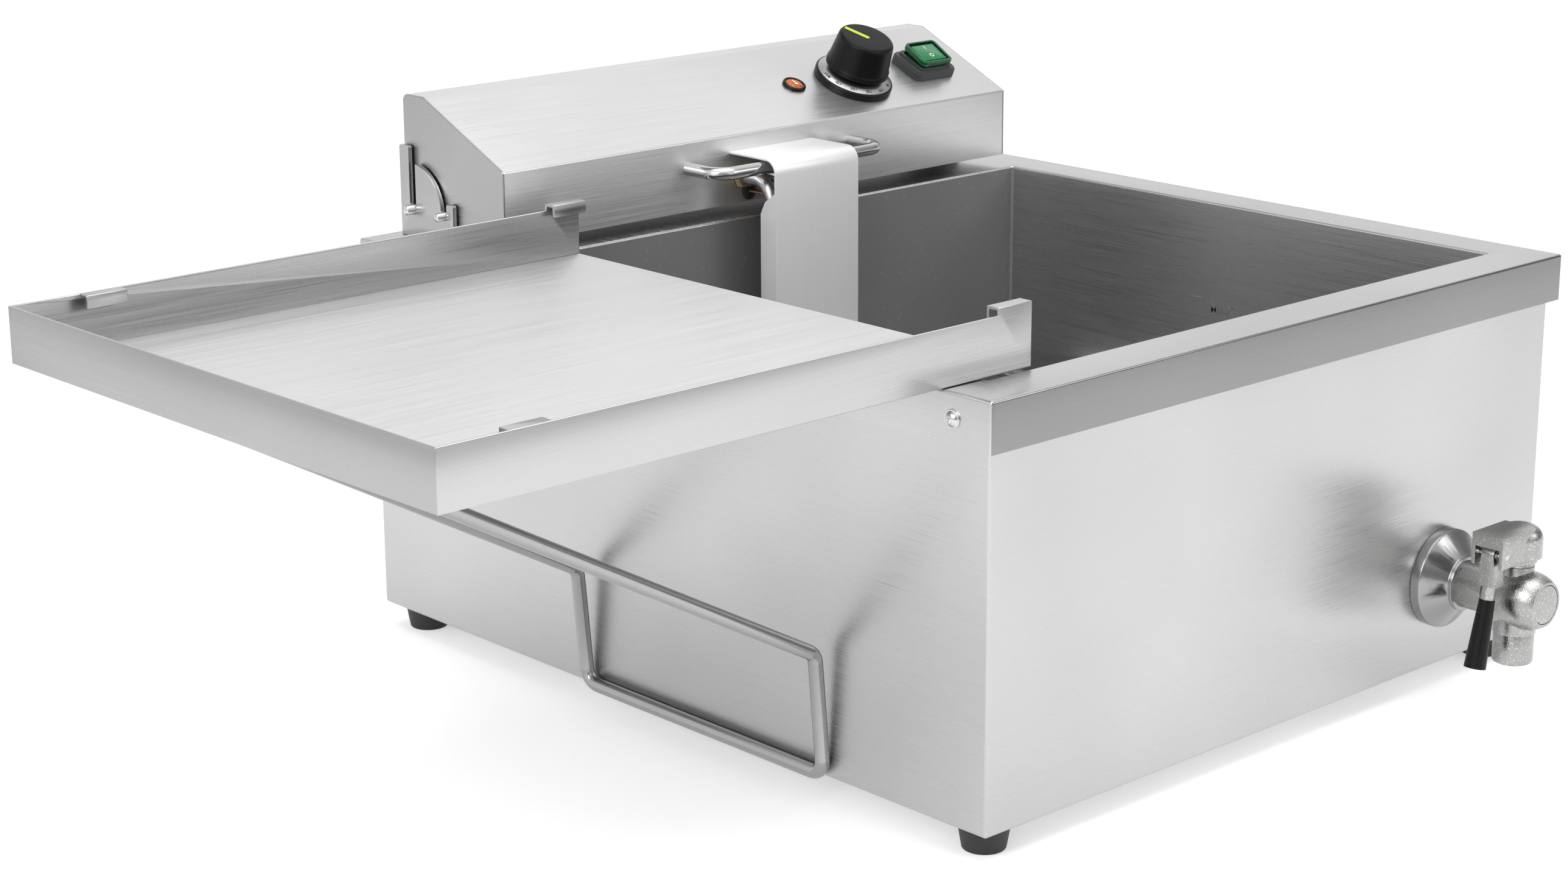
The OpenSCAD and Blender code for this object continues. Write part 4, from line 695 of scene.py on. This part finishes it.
rubber = soft_plastic("black rubber", (0.028, 0.028, 0.030), 0.55)
foot_profile = (
    [(RECESS_R, RECESS_H), (RECESS_R, RECESS_EASE), (RECESS_R + RECESS_EASE, 0)]
    + [(FOOT_END_R - FOOT_BEND + a, FOOT_BEND + b) for a, b in arc(FOOT_BEND, 270, 350, 5)]
    + [(FOOT_TOP_R - 0.8, FOOT_H - 2.5), (FOOT_TOP_R, FOOT_H - 1.2), (FOOT_TOP_R - 0.2, FOOT_H)])
foot = turned("foot", [(0, RECESS_H)] + foot_profile + [(0, FOOT_H)], 48)
feet_places = [Matrix.Translation(at(sx * (HALF_W - FOOT_INSET), sy * (HALF_D - FOOT_INSET), 0))
               for sx in (-1, 1) for sy in (-1, 1)]
piece("rubber_feet", scattered("feet", foot, feet_places, rubber), rubber,
      "fryer_body", ["feet"])
coat(polished, "foot_screws")

# ---- The control head is a folded stainless cover over two end plates, brushed along its
# length, with a flat base and a back that is screwed on.
HEAD_LO, HEAD_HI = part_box("head_ends")
HEAD_X = (HEAD_HI.x - HEAD_LO.x) / 2 / MM
HEAD_FRONT = (HEAD_LO.y - CENTRE.y) / MM
HEAD_BACK = (HEAD_HI.y - CENTRE.y) / MM
HEAD_BOTTOM, HEAD_TOP = HEAD_LO.z / MM, HEAD_HI.z / MM
PANEL_H, TOP_DEPTH, HEAD_BEND, BACK_BEND = 43, 19.5, 1.8, 4.0
HEAD_SEAM, COVER_GAP, BEND_STEPS = 0.35, 0.05, 5
CREASE_Z = HEAD_BOTTOM + PANEL_H
PANEL_RUN, PANEL_RISE = HEAD_BACK - TOP_DEPTH - HEAD_FRONT, HEAD_TOP - CREASE_Z
SLOPE = math.atan2(PANEL_RISE, PANEL_RUN)


def filleted(corners):
    """An outline in (a, b) from corners (a, b, radius), with each corner rounded."""
    points = []
    for k, (a, b, r) in enumerate(corners):
        here = Vector((a, b))
        before = (Vector(corners[k - 1][:2]) - here).normalized()
        after = (Vector(corners[(k + 1) % len(corners)][:2]) - here).normalized()
        if r < 1e-6:
            points.append(here)
            continue
        half = before.angle(after) / 2
        centre = here + (before + after).normalized() * r / math.sin(half)
        start = here + before * r / math.tan(half) - centre
        stop = here + after * r / math.tan(half) - centre
        turn = start.angle_signed(stop)
        for i in range(BEND_STEPS + 1):
            spin = Matrix.Rotation(-turn * i / BEND_STEPS, 2)
            points.append(centre + spin @ start)
    return points


def prism(name, outline, x0, x1, ease):
    """An outline in (y, z) drawn out along X, with its end edges eased."""
    loops = []
    for x, pull in ((x0, ease), (x0 + ease, 0.0), (x1 - ease, 0.0), (x1, ease)):
        loop = []
        for k, p in enumerate(outline):
            along = (outline[(k + 1) % len(outline)] - outline[k - 1]).normalized()
            p = p + Vector((-along.y, along.x)) * pull
            loop.append(at(x, p.x, p.y))
        loops.append(loop)
    return outward(stacked(name, loops))


head_steel = brushed("head steel", 0.69, 0.33, (14, 1100, 1800), axis="X", contrast=0.09,
                     relief=0.25, lean=0.3, metallic=0.9)
end_steel = brushed("end plate steel", 0.42, 0.30, (1200, 30, 1600), axis="X", contrast=0.05,
                    relief=0.2)
cover_outside = filleted([
    (HEAD_FRONT, HEAD_BOTTOM, 0), (HEAD_BACK, HEAD_BOTTOM, 0), (HEAD_BACK, HEAD_TOP, BACK_BEND),
    (HEAD_BACK - TOP_DEPTH, HEAD_TOP, HEAD_BEND), (HEAD_FRONT, CREASE_Z, HEAD_BEND)])
cover_half = HEAD_X - SHEET - COVER_GAP
piece("head_cover", prism("head cover", cover_outside, -cover_half, cover_half, HEAD_SEAM),
      head_steel, "control_head", ["head_shell", "head_base", "head_back_cover"])
plates = []
for side in (-1, 1):
    inner, outer = side * (HEAD_X - SHEET), side * HEAD_X
    plates.append(prism("plate", cover_outside, min(inner, outer), max(inner, outer), HEAD_SEAM))
piece("head_end_plates", joined("end plates", plates), end_steel, "control_head",
      ["head_ends"])

# Screws of the back cover
BACK_SCREW_R, BACK_SCREW_H, BACK_SOCKET_R = 3.0, 1.6, 1.0
BACK_SCREW_SIDE, BACK_SCREW_IN = 7.2, 6
back_screw = button_screw(BACK_SCREW_R, BACK_SCREW_H, socket=BACK_SOCKET_R)
back_places = [
    Matrix.Translation(at(sx * (HEAD_X - BACK_SCREW_SIDE), HEAD_BACK, z))
    @ Matrix.Rotation(-math.pi / 2, 4, "X") for sx in (-1, 1)
    for z in (HEAD_BOTTOM + BACK_SCREW_IN, HEAD_TOP - BACK_BEND - BACK_SCREW_IN)]
piece("back_screws", scattered("back screws", back_screw, back_places, polished), polished,
      "control_head", ["cover_screws"])

# ---- Hinge plates and pins: thick stainless plates standing on the rim beside the head,
# with an open slot for the pivot pin and an arc that the guide pin runs round.
FLAT_TURN = math.radians(0.8)


def eased(node, width, material, body, name, steps=2, angle=30):
    """A part of the model with its sharp edges eased, as a piece that stands for it."""
    bm = bmesh.new()
    bm.from_mesh(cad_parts[node].data)
    bmesh.ops.remove_doubles(bm, verts=bm.verts, dist=2e-6)
    bmesh.ops.dissolve_limit(bm, angle_limit=FLAT_TURN, verts=bm.verts, edges=bm.edges)
    obj = scene_object(name + " rough", meshed(name, bm))
    bevel = obj.modifiers.new("ease", "BEVEL")
    bevel.width = width * MM
    bevel.segments = steps
    bevel.limit_method = "ANGLE"
    bevel.angle_limit = math.radians(angle)
    bevel.use_clamp_overlap = True
    result = evaluated(obj)
    bpy.data.objects.remove(obj)
    return piece(name, result, material, body, [node], smooth=angle)


plate_steel = smudged("bright plate", 0.50, 0.26, 0.10)
eased("hinge_plates", 0.4, plate_steel, "fryer_body", "hinge_side_plates")
eased("hinge_pins", 0.4, polished, "control_head", "hinge_side_pins", angle=50)

# ---- The lifting handle is one bent round bar of polished steel. It stands out of the head's
# front panel and is screwed on from behind it.
HANDLE_HALF, HANDLE_OUT, HANDLE_UP, HANDLE_ROOT = 68.5, 28.5, 33.5, 1
HANDLE_R, HANDLE_BEND, HANDLE_STEPS, HANDLE_SIDES = 4.0, 12.0, 14, 40


def bent_bar(name, points, bends, radius, material, steps, sides):
    """A round bar along points in millimetres, with a bend radius for each inner corner."""
    curve = bpy.data.curves.new(name, "CURVE")
    curve.dimensions = "3D"
    spline = curve.splines.new("POLY")
    spline.points.add(len(points) - 1)
    for point, place, bend in zip(spline.points, points, (0.0, *bends, 0.0)):
        point.co = (*at(*place), 1)
        point.radius = bend * MM
    line = scene_object(name, curve)
    tree, n = geometry_group(
        name + " bar", [("Radius", "Float"), ("Steps", "Int"), ("Sides", "Int")],
        {"bend": "GeometryNodeInputRadius", "fillet": "GeometryNodeFilletCurve",
         "even": "GeometryNodeSetCurveRadius", "ring": "GeometryNodeCurvePrimitiveCircle",
         "tube": "GeometryNodeCurveToMesh"})
    n["fillet"].mode = "POLY"
    n["fillet"].inputs["Limit Radius"].default_value = True
    n["even"].inputs["Radius"].default_value = 1.0
    n["tube"].inputs["Fill Caps"].default_value = True
    mesh = grown(line, tree, n, (
        ("in", "Geometry", "fillet", "Curve"), ("bend", "Radius", "fillet", "Radius"),
        ("in", "Steps", "fillet", "Count"), ("fillet", "Curve", "even", "Curve"),
        ("even", "Curve", "tube", "Curve"), ("in", "Radius", "ring", "Radius"),
        ("in", "Sides", "ring", "Resolution"), ("ring", "Curve", "tube", "Profile Curve"),
        ("tube", "Mesh", "real", "Geometry")),
        Radius=radius * MM, Steps=steps, Sides=sides, Finish=material)
    bpy.data.objects.remove(line)
    return outward(mesh)


handle_line = [(sx * HANDLE_HALF, HEAD_FRONT + out, RIM_TOP + HANDLE_UP) for sx, out in (
    (-1, HANDLE_ROOT), (-1, -HANDLE_OUT), (1, -HANDLE_OUT), (1, HANDLE_ROOT))]
piece("lifting_handle",
      bent_bar("handle", handle_line, [HANDLE_BEND] * 2, HANDLE_R, polished, HANDLE_STEPS,
               HANDLE_SIDES),
      polished, "control_head", ["front_handle"])

# ---- The element guard is a folded stainless channel with a pale brushed face. It hangs from
# the head's front, over the rising tubes of the heating elements.
guard_steel = brushed("guard steel", 0.86, 0.36, (1200, 1200, 14), contrast=0.07, relief=0.2,
                      metallic=0.2)
eased("element_guard", 0.35, guard_steel, "control_head", "element_guard_channel",
      angle=40)

# ---- Two tube heating elements leave the head through brass nuts and loop over the tank's
# floor. Flat straps hold their runs and the copper bulbs of the thermostat.
ELEMENT_R, ELEMENT_PITCH, ELEMENT_STEPS, ELEMENT_SIDES = 4.25, 52.0, 12, 24
RISER_BEND, TURN_SLACK = 14, 0.01
GUARD_IN, RISER_BEHIND, LOOP_IN, LOOP_SHORT, ELEMENT_ROOT = 34, 12, 32, 44, 2
ELEMENT_UP, ELEMENT_OUT = 22, 24
ELEMENT_Z, ELEMENT_OUT_Z = TANK_FLOOR + ELEMENT_UP, RIM_TOP + ELEMENT_OUT
RISER_Y = TANK_Y[1] - GUARD_IN + RISER_BEHIND
LOOP_FRONT, LOOP_BACK = TANK_Y[0] + LOOP_IN, RISER_Y - LOOP_SHORT
RISER_X = (11.0, 27.0)
LOOP_X = [RISER_X[0] + ELEMENT_PITCH * k for k in range(4)]
ROOT_Y = HEAD_FRONT + ELEMENT_ROOT
half_pitch = ELEMENT_PITCH / 2 - TURN_SLACK
heater_tube = smudged("heater tube", 0.62, 0.22, 0.14)
tubes = []
runs = ((0, LOOP_FRONT), (1, LOOP_FRONT), (1, LOOP_BACK), (2, LOOP_BACK), (2, LOOP_FRONT),
        (3, LOOP_FRONT), (3, RISER_Y))
for side in (-1, 1):
    line = [
        (RISER_X[0], ROOT_Y, ELEMENT_OUT_Z), (RISER_X[0], RISER_Y, ELEMENT_OUT_Z),
        (RISER_X[0], RISER_Y, ELEMENT_Z), *((LOOP_X[k], y, ELEMENT_Z) for k, y in runs),
        (RISER_X[1], RISER_Y, ELEMENT_Z), (RISER_X[1], RISER_Y, ELEMENT_OUT_Z),
        (RISER_X[1], ROOT_Y, ELEMENT_OUT_Z)]
    bends = [RISER_BEND] * 2 + [half_pitch] * 6 + [RISER_BEND] * 3
    tubes.append(bent_bar("element", [(side * x, y, z) for x, y, z in line], bends, ELEMENT_R,
                          heater_tube, ELEMENT_STEPS, ELEMENT_SIDES))
piece("heater_tubes", joined("heater tubes", tubes), heater_tube, "control_head",
      ["heating_elements"])
brass = smudged("brass", 0.70, 0.28, 0.1, (1.0, 0.82, 0.50))
eased("element_nuts", 0.3, brass, "control_head", "element_gland_nuts")
eased("element_straps", 0.25, brushed("strap steel", 0.60, 0.35, (14, 900, 900), axis="X"),
      "control_head", "element_flat_straps")
copper = smudged("copper", 0.72, 0.25, 0.1, (1.0, 0.62, 0.42))
eased("thermostat_bulbs", 0.3, copper, "control_head", "sensor_bulbs")
coat(copper, "capillaries")
coat(polished, "handle_nuts")
eased("capillary_grommet", 0.3, rubber, "control_head", "cable_grommet")

# ---- The controls are moulded plastic, set into the sloping panel side by side: a small
# indicator lamp, and the thermostat's knob over a conical ring with its numbers.
CONTROL_LINE, KNOB_DROP, SWITCH_DROP = 0.475, 4.5, 2
CONTROL_S = math.hypot(PANEL_RUN, PANEL_RISE) * CONTROL_LINE
KNOB_S, SWITCH_S = CONTROL_S - KNOB_DROP, CONTROL_S - SWITCH_DROP
LAMP_X, KNOB_X, SWITCH_X = 53, 101, 167.5


def on_slope(x, s=CONTROL_S, h=0.0):
    """A frame on the sloping panel: X to the right, Y up the slope, Z out of the panel."""
    return (Matrix.Translation(at(x, HEAD_FRONT, CREASE_Z)) @ Matrix.Rotation(SLOPE, 4, "X")
            @ Matrix.Translation((0, s * MM, h * MM)))


def placed(mesh, matrix):
    """The mesh, moved by a matrix."""
    mesh.transform(matrix)
    return mesh


# Lamp: a rolled black bezel with a domed orange lens, faceted inside
BEZEL_R, BEZEL_BEND, BEZEL_SEAT, LENS_R, LENS_DOME_R = 7.7, 1.1, 1.2, 5.6, 16.2
LENS_LOW, LENS_DROP = 0.6, 13.6
black_gloss = soft_plastic("glossy black plastic", (0.008, 0.008, 0.008), 0.28, relief=0.03,
                           gloss=0.2)
bezel = turned("bezel", (
    [(0, 0), (BEZEL_R, 0)]
    + [(BEZEL_R - BEZEL_BEND + a, BEZEL_BEND + b) for a, b in arc(BEZEL_BEND, -10, 150, 8)]
    + [(BEZEL_R - 2 * BEZEL_BEND, BEZEL_SEAT), (0, BEZEL_SEAT)]), 56)
piece("lamp_rim", placed(bezel, on_slope(LAMP_X)), black_gloss, "control_head",
      ["lamp_bezel"])


def lens_material(name, deep, bright, cells):
    """A coloured plastic lens, moulded with small prisms behind its glossy face."""
    material, tree, bsdf = shader(name)
    prisms = wired(tree, "TexVoronoi", {"Scale": cells,
                                        "Vector": wired(tree, "TexCoord", {})["Object"]})
    facets = mapped(tree, prisms["Distance"], 0, 1, (0.1, 0.75))
    fed(tree, bsdf, {"Base Color": toned(tree, facets, bright, deep), "Roughness": 0.16,
                     "Specular IOR Level": 0.3, "Coat Weight": 0.25, "Coat Roughness": 0.05})
    return material


orange_lens = lens_material("orange lens", (0.32, 0.05, 0.001), (0.78, 0.20, 0.006), 1100)
lens = turned("lens", (
    [(0, LENS_LOW), (LENS_R, LENS_LOW)]
    + [(a, b - LENS_DROP) for a, b in arc(LENS_DOME_R, 69.8, 90, 8)]), 48)
piece("lamp_glass", placed(lens, on_slope(LAMP_X)), orange_lens, "control_head",
      ["lamp_lens"])

# A plain thermometer sign on the lens: a stem over a bulb
PRINT, BULB_R, BULB_DOWN, STEM_W, STEM_L, STEM_UP, SIGN_H = 0.06, 1.0, 1.5, 0.8, 4.0, 0.8, 2.58
white_print = soft_plastic("white print", (0.8, 0.8, 0.8), 0.5)
sign_bulb = turned("bulb", [(0, 0), (BULB_R, 0), (BULB_R, PRINT), (0, PRINT)], 24)
sign = joined("thermometer", [
    placed(sign_bulb, on_slope(LAMP_X, CONTROL_S - BULB_DOWN, SIGN_H)),
    block(STEM_W, STEM_L, PRINT, on_slope(LAMP_X, CONTROL_S + STEM_UP, SIGN_H + PRINT / 2))])
piece("lamp_sign", sign, white_print, "control_head", smooth=None)

# Thermostat: black flange, silver number ring, and a deep black knob with a bright pointer
DIAL_R, DIAL_T, DIAL_FOOT, DIAL_BEND, DIAL_SIDES = 26.0, 5.0, 0.6, 1.4, 96
RING_OUT, RING_IN, RING_RISE, RING_SUNK, RING_EDGE = 24.8, 17.0, 2.8, 0.4, 0.1
RING_GAP = 0.15
ring_top = DIAL_T + RING_RISE - RING_EDGE
on_dial = on_slope(KNOB_X, KNOB_S)
flange_profile = (
    [(0, 0), (DIAL_R - DIAL_FOOT, 0), (DIAL_R, DIAL_FOOT)]
    + [(DIAL_R - DIAL_BEND + a, DIAL_T - DIAL_BEND + b) for a, b in arc(DIAL_BEND, 0, 90, 6)]
    + [(RING_OUT - RING_EDGE, DIAL_T), (RING_OUT - RING_EDGE, DIAL_T - RING_SUNK),
       (RING_IN, DIAL_T - RING_SUNK), (RING_IN, ring_top), (0, ring_top)])
piece("dial_base", placed(turned("dial base", flange_profile, DIAL_SIDES), on_dial),
      black_gloss, "control_head", ["dial_flange"])
ring_profile = [
    (RING_IN, DIAL_T - RING_SUNK), (RING_OUT - RING_GAP, DIAL_T - RING_SUNK),
    (RING_OUT - RING_GAP, DIAL_T), (RING_OUT - 2 * RING_GAP, DIAL_T + RING_EDGE),
    (RING_IN + RING_GAP, DIAL_T + RING_RISE), (RING_IN, ring_top), (RING_IN, DIAL_T - RING_SUNK)]
dial_silver = grained("dial silver", (0.42, 0.42, 0.43), (0.52, 0.52, 0.53), 0.34, 2600.0, 0.9,
                      0.1, 0.2)
piece("dial_number_ring", placed(turned("ring", ring_profile, DIAL_SIDES), on_dial),
      dial_silver, "control_head", ["dial_ring"])

DIAL_MARKS = ("MAX", "170", "150", "130", "110", "90", "70")
FIRST_MARK, MARK_STEP, MARK_R, DIAL_LETTER = 173.0, 27.0, 22.4, 3.0
ring_lean = math.atan2(RING_RISE - RING_EDGE, RING_OUT - RING_IN)
mark_z = DIAL_T + RING_EDGE + (RING_OUT - MARK_R) * math.tan(ring_lean)
print_black = soft_plastic("dial print", (0.03, 0.03, 0.03), 0.5)
words = []
for k, word in enumerate(DIAL_MARKS):
    angle = math.radians(FIRST_MARK + MARK_STEP * k)
    mesh = lettering("dial word", word, DIAL_LETTER, PRINT)
    mesh.transform(
        on_slope(KNOB_X, KNOB_S, mark_z) @ Matrix.Rotation(angle - math.pi / 2, 4, "Z")
        @ Matrix.Translation((0, MARK_R * MM, 0)) @ Matrix.Rotation(-ring_lean, 4, "X"))
    words.append(mesh)
piece("dial_numbers", joined("dial numbers", words), print_black, "control_head",
      smooth=None)

KNOB_LOW, KNOB_STEP, KNOB_TOP, KNOB_R, KNOB_TOP_R, KNOB_EDGE = 10.0, 14.0, 33.0, 21.0, 18.5, 3.0
KNOB_HOLLOW, KNOB_WALL, KNOB_FOOT, KNOB_SIDES = 11, 2.5, 0.4, 128
knob_black = soft_plastic("knob black", (0.007, 0.007, 0.007), 0.36, relief=0.05, gloss=0.14)
knob_profile = (
    [(0, KNOB_LOW + KNOB_HOLLOW), (KNOB_R - KNOB_WALL, KNOB_LOW + KNOB_HOLLOW),
     (KNOB_R - KNOB_WALL, KNOB_LOW), (KNOB_R - KNOB_FOOT, KNOB_LOW),
     (KNOB_R, KNOB_LOW + KNOB_FOOT), (KNOB_R, KNOB_STEP - 0.9), (KNOB_R - 0.5, KNOB_STEP - 0.3),
     (KNOB_R - 0.7, KNOB_STEP + 0.4)]
    + [(KNOB_TOP_R - KNOB_EDGE + a, KNOB_TOP - KNOB_EDGE + b)
       for a, b in arc(KNOB_EDGE, 4, 90, 9)]
    + [(6, KNOB_TOP - 0.15), (0, KNOB_TOP - 0.2)])
piece("knob_cap", placed(turned("knob", knob_profile, KNOB_SIDES), on_dial), knob_black,
      "thermostat_knob", ["knob"])
coat(soft_plastic("pointer paint", (0.58, 0.66, 0.03), 0.45), "knob_pointer")

# ---- The drain valve: a bright conical flange, a cast body with a round end cap and a
# spout, and a lever whose black grip hangs from a lock tab.
cast_nickel = grained("cast nickel", (0.30, 0.30, 0.295), (0.62, 0.62, 0.61), 0.16, 1500.0, 0.90,
                      0.55, 0.5)
turned_nickel = smudged("turned nickel", 0.36, 0.14, 0.10)
eased("valve_flange", 0.5, turned_nickel, "fryer_body", "wall_flange")
for node, name, width in (
        ("valve_body", "valve_casting", 0.5), ("valve_end_cap", "valve_cap", 0.3),
        ("valve_gland", "stem_gland", 0.4), ("valve_spout", "valve_outlet", 0.4)):
    eased(node, width, cast_nickel, "fryer_body", name)
eased("lever_head", 0.5, cast_nickel, "valve_lever", "lever_casting")
eased("lever_lock", 0.4, cast_nickel, "lever_grip", "lock_tab")
grip_black = soft_plastic("grip black", (0.006, 0.006, 0.006), 0.28, relief=0.03, gloss=0.2)
eased("lever_grip", 0.3, grip_black, "lever_grip", "fluted_grip", angle=25)
coat(polished, "lock_pin", "lever_set_screw", "valve_ball", "valve_stem", "drain_pipe")

# ---- The power switch is a moulded green rocker in a grey rubber boot, clipped into the
# panel. Its cap has a frame, a dark groove and a flat lens with plain on and off marks.
boot_rubber = soft_plastic("boot rubber", (0.045, 0.050, 0.050), 0.5)
eased("switch_boot", 1.2, boot_rubber, "control_head", "boot", angle=40, steps=4)
CAP_W, CAP_L, CAP_T, CAP_TOP, CAP_LIP, CAP_AXIS = 27.0, 22.5, 4.0, 13.5, 2.6, 4.0
CAP_CORNER, LEAST_CORNER, CAP_TILT = 3.2, 0.5, math.radians(6)
CAP_STEPS = 6
CAP_SIDES = 4 * (CAP_STEPS + 1)


def tilted(h):
    """A frame on the rocker, pressed on its lower half, at a height over the panel."""
    return (on_slope(SWITCH_X, SWITCH_S, CAP_AXIS) @ Matrix.Rotation(CAP_TILT, 4, "X")
            @ Matrix.Translation((0, 0, (h - CAP_AXIS) * MM)))


def pillow_loop(w, l, r, z):
    """A rounded rectangle round the rocker's middle."""
    x, y = w / 2 - r, l / 2 - r
    return [Vector((sx * x + r * math.cos(a), sy * y + r * math.sin(a), z)) * MM
            for sx, sy, turn in ((1, 1, 0), (-1, 1, 1), (-1, -1, 2), (1, -1, 3))
            for a in (math.pi / 2 * (turn + i / CAP_STEPS) for i in range(CAP_STEPS + 1))]


CAP_RINGS = [  # inset of the outline, height under the top edge
    (3.5, -8.5), (3.5, -CAP_T), (0.9, -CAP_T), (0.25, -CAP_T + 0.3), (0.0, -CAP_T + 0.9),
    (0.0, -0.8), (0.25, -0.2), (0.8, 0.0), (CAP_LIP - 1.0, 0.0), (CAP_LIP - 0.6, -0.25),
    (CAP_LIP - 0.4, -1.4), (CAP_LIP + 0.5, -1.5), (CAP_LIP + 0.7, -1.4), (CAP_LIP + 0.9, -0.8),
    (CAP_LIP + 1.3, -0.6)]
GROOVE_RING, LENS_RING = 8, 12
cap = outward(stacked("cap", [
    pillow_loop(CAP_W - 2 * d, CAP_L - 2 * d, max(CAP_CORNER - d, LEAST_CORNER), z)
    for d, z in CAP_RINGS]))
green_lens = lens_material("green rocker", (0.0, 0.13, 0.035), (0.0, 0.27, 0.075), 1500)
green_frame = lens_material("green frame", (0.0, 0.07, 0.02), (0.0, 0.12, 0.035), 300)
green_groove = lens_material("green groove", (0.0, 0.016, 0.008), (0.0, 0.03, 0.014), 300)
rocker = piece("rocker_cap", placed(cap, tilted(CAP_TOP)),
               [green_frame, green_groove, green_lens], "power_rocker", ["rocker"],
               smooth=40)
for face in rocker.data.polygons:
    ring = face.index // CAP_SIDES
    face.material_index = 0 if ring < GROOVE_RING else 1 if ring < LENS_RING else 2
MARK_LETTER, MARK_PRINT, MARK_SUNK = 4.6, 0.05, 0.55
marks = []
for word, y in (("I", 4.6), ("O", -3.4)):
    mark = lettering("switch mark", word, MARK_LETTER, MARK_PRINT)
    mark.transform(tilted(CAP_TOP - MARK_SUNK) @ Matrix.Translation((0, y * MM, 0)))
    marks.append(mark)
piece("rocker_marks", joined("rocker marks", marks), white_print, "power_rocker",
      smooth=None)

# Gland for the cord, in the back cover
eased("cable_gland", 0.4, black_gloss, "control_head", "gland")

# ---- The draining tray is one plain folded stainless sheet. It lies loose on the rim, and a
# drawn wire brace in two folded eyelets holds up its outer end.
tray_steel = brushed("tray steel", 0.54, 0.30, (10, 10, 900), contrast=0.03, relief=0.05)
# The floor is the same sheet as the walls, made far lighter: painted light on the face that looks
# up.
tray_floor_painted_light = brushed("tray floor steel with painted light", 0.74, 0.50, (10, 900, 10), axis="X", contrast=0.02,
                      relief=0.03, lean=0.2)
# The end wall is the same sheet too, made darker: painted shade on the face that looks left.
tray_end_painted_shade = brushed("tray end steel with painted shade", 0.41, 0.30, (10, 10, 900), contrast=0.03, relief=0.05)
tray = eased("tray", 0.4, tray_steel, "draining_tray", "tray_sheet")
tray.data.materials.append(tray_floor_painted_light)
tray.data.materials.append(tray_end_painted_shade)
LARGE_FACE = 0.01
# Large faces that look up take the lighter steel (painted light); faces that look left take the
# darker steel (painted shade).
for face in tray.data.polygons:
    if face.normal.z > 0.9 and face.area > LARGE_FACE:
        face.material_index = 1
    elif face.normal.x < -0.9:
        face.material_index = 2
eased("brace_eyelets", 0.3, tray_steel, "draining_tray", "brace_clips")
eased("wire_brace", 0.3, smudged("drawn wire", 0.42, 0.16), "tray_brace", "brace_wire")

# ---- Parts inside the casing and the head show only from below or never. They are white or
# black mouldings, a brass nut and a bright shaft, in the shapes that the model gives them.
inner_white = soft_plastic("white moulding", (0.75, 0.75, 0.72), 0.5)
inner_black = soft_plastic("black moulding", (0.03, 0.03, 0.03), 0.5)
coat(inner_white, "lamp_body", "thermostat_body", "safety_cutout", "terminal_block",
     "valve_seats")
coat(inner_black, "switch_body")
coat(polished, "thermostat_shaft")
coat(brass, "drain_nut")
